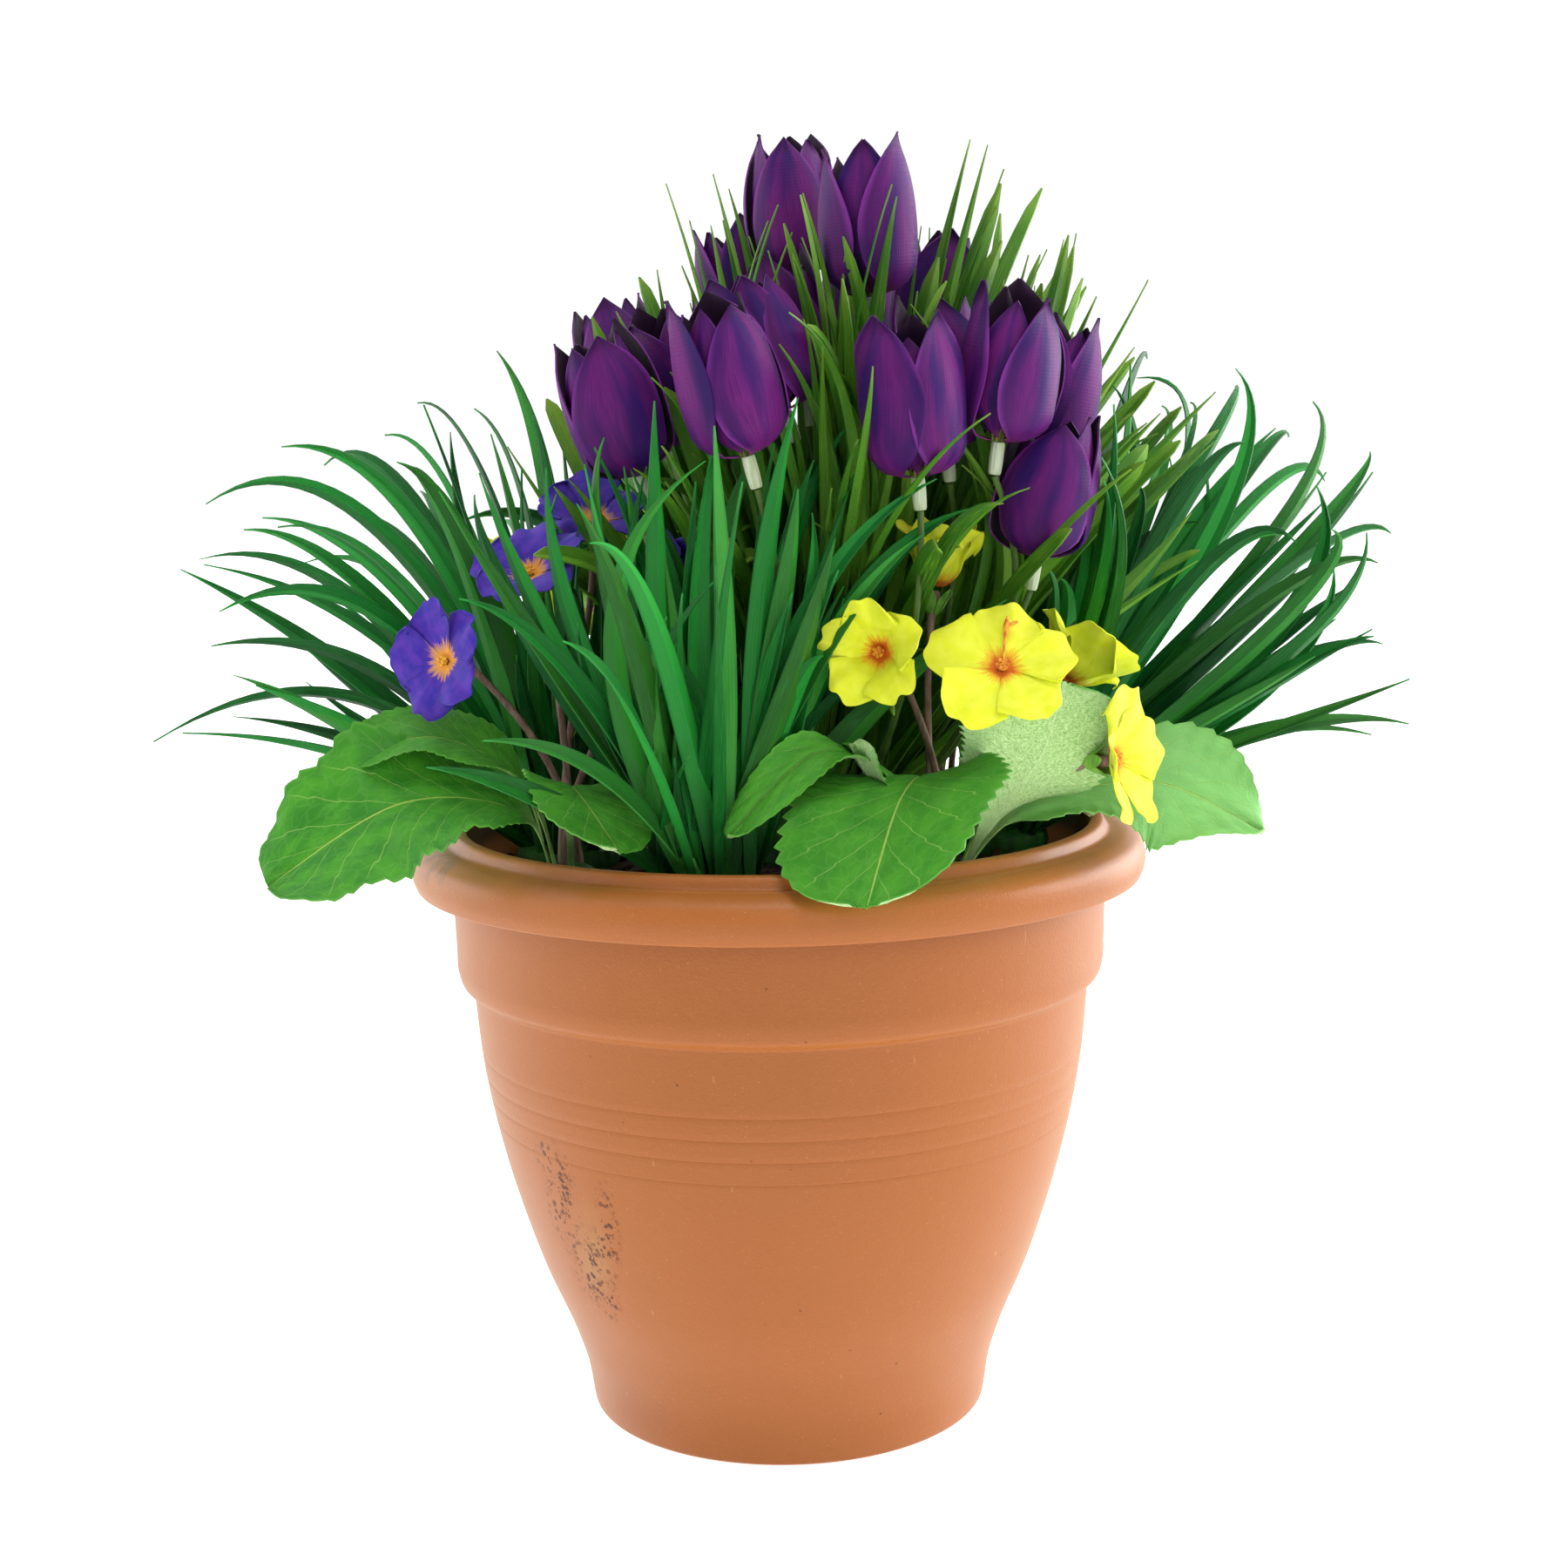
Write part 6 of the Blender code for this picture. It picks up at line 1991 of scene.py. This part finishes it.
def plant_pot():
    put_in(spun_pot(), "terracotta_plastic", "pot", crease=POT_CREASE)
    put_in(filled_mix(), "potting_mix", "potting_mix")
    put_in(scattered_chips(), "potting_mix")
    crowns = [crown for crown, _, _, _ in TUFTS.values()] + [TULIP_CROWN]
    crowns += [crown for _, crown, _, _ in PRIMROSES.values()]
    bends = [(crown_bend(*crown), 0.5) for crown in crowns]
    plugs = bent_copies("plant_crowns", round_rod(*CROWN_ROD), bends)
    painted(plugs, plain_moulding("crown_green", "1D4A1C", "2F6B2A", 0.5))
    put_in(plugs, "grass_green")


def plant_grass(room, blades):
    # The last colour is the foot, a dark green painted as the shade low in the tufts.
    grass = moulded_green("grass_plastic", "084419", "168A2C", "38AE44", "153A14")
    for name, (crown, _, _, _) in TUFTS.items():
        wider, count, listed = FINER_GRASS[name]
        draw = random.Random(name + " finer")
        wanted = listed + near(draw, blades[name], count, *NEAR_GRASS)
        more = place_blades(room, draw, name, crown, wanted, GRASS_WIDTH, may_cross=True)
        for piece in grown_blades(name.replace("tuft", "blades"), blades[name] + more, wider,
                                  GRASS_OUTLINES, GRASS_FOLD, GRASS_THICK, grass,
                                  name + " shape"):
            put_in(piece, "grass_green", name, crease=BLADE_CREASE)


def plant_tulips(room, stems, blades):
    # The last colour is the foot, a darker green painted as the shade low among the leaves.
    green = moulded_green("tulip_leaf_plastic", "2A6412", "5E9C22", "9CC048", "4E7026")
    draw = random.Random("finer tulip leaves")
    wanted = FRONT_TULIP_LEAVES + near(draw, blades, MORE_TULIP_LEAVES, *NEAR_TULIP_LEAVES)
    more = place_tulip_leaves(room, draw, wanted, FINE_LEAF_WIDTH, may_cross=True)
    draw = random.Random("low tulip leaves")
    for headings in LOW_LEAF_HEADINGS:
        wanted = drawn_blades(draw, TULIP_CROWN, LOW_LEAF_COUNT, headings, *LOW_LEAF_REACH_RISE)
        more += place_tulip_leaves(room, draw, wanted, FINE_LEAF_WIDTH, may_cross=True)
    greens = grown_blades("tulip_leaves", blades + more, TULIP_LEAF_WIDER, TULIP_OUTLINES,
                          TULIP_FOLD, CLOTH_THICK, green, "tulip leaf shape")
    for piece in greens + list(tulip_stems(stems)):
        put_in(piece, "tulip_green", "tulip_greens", crease=BLADE_CREASE)
    heart = plain_moulding("tulip_heart", "241018", "8C8A3C", 0.6)
    paints = (tulip_outside(), tulip_inside(), heart)
    for number, (foot, tip, turn) in enumerate(TULIPS, start=1):
        put_in(tulip_head(number, foot, tip, turn, paints), "tulip_cloth",
               f"tulip_bloom_{number:02d}", crease=CLOTH_CREASE)


def plant_primroses(leaves):
    paints = {
        # The fourth colour of each cloth is its darker fold colour, painted as shade.
        "yellow": (primrose_cloth("yellow_cloth", "E2E826", "EBF044", "CCD61C", "CF5A18",
                                  "E8A01E", 0.19),
                   plain_moulding("yellow_eye", "C4501C", "F0B42C", 0.6, 900)),
        "violet": (primrose_cloth("violet_cloth", "31239A", "552FA6", "24177A", "EDA93A",
                                  "E3A044", 0.22),
                   plain_moulding("violet_eye", "D98A14", "F4C84A", 0.6, 900)),
    }
    leaf_paints = (leaf_top(), leaf_under())
    stalk = plain_moulding("primrose_stalk", "6B4F45", "9A7D6E", 0.5, 420)
    sepal = plain_moulding("primrose_sepal", "4C8C2E", "8CBF4E", 0.5, 300)
    for plant, (colour, crown, flowers, _) in PRIMROSES.items():
        greens = plant + "_greens"
        put_in(primrose_leaves(plant, leaves[plant], leaf_paints), "primrose_green", greens,
               crease=CLOTH_CREASE)
        stems, sepals = primrose_stems(plant, crown, flowers)
        put_in(painted(stems, stalk), "primrose_green", greens)
        shaped(painted(sepals, sepal), "SOLIDIFY", thickness=PETAL_THICK, offset=0)
        put_in(sepals, "primrose_green", greens)
        for number, (middle, facing) in enumerate(flowers):
            node, cup, radius = flower_size(plant, number)
            flower = primrose_flower(node.replace("flower", "bloom"), middle, facing, radius,
                                     FLOWER_TURN * number, cup, paints[colour])
            put_in(flower, colour + "_cloth", node, crease=CLOTH_CREASE)


def plant_everything():
    room, stems, leaves, blades = grow()
    add_guards(room)
    for name in blades:
        blades[name] = set_aside(room, random.Random(name + " aside"), blades[name])
    plant_pot()
    plant_grass(room, blades)
    plant_tulips(room, stems, blades["tulip_greens"])
    plant_primroses(leaves)


stand_camera()
light_studio()
plant_everything()
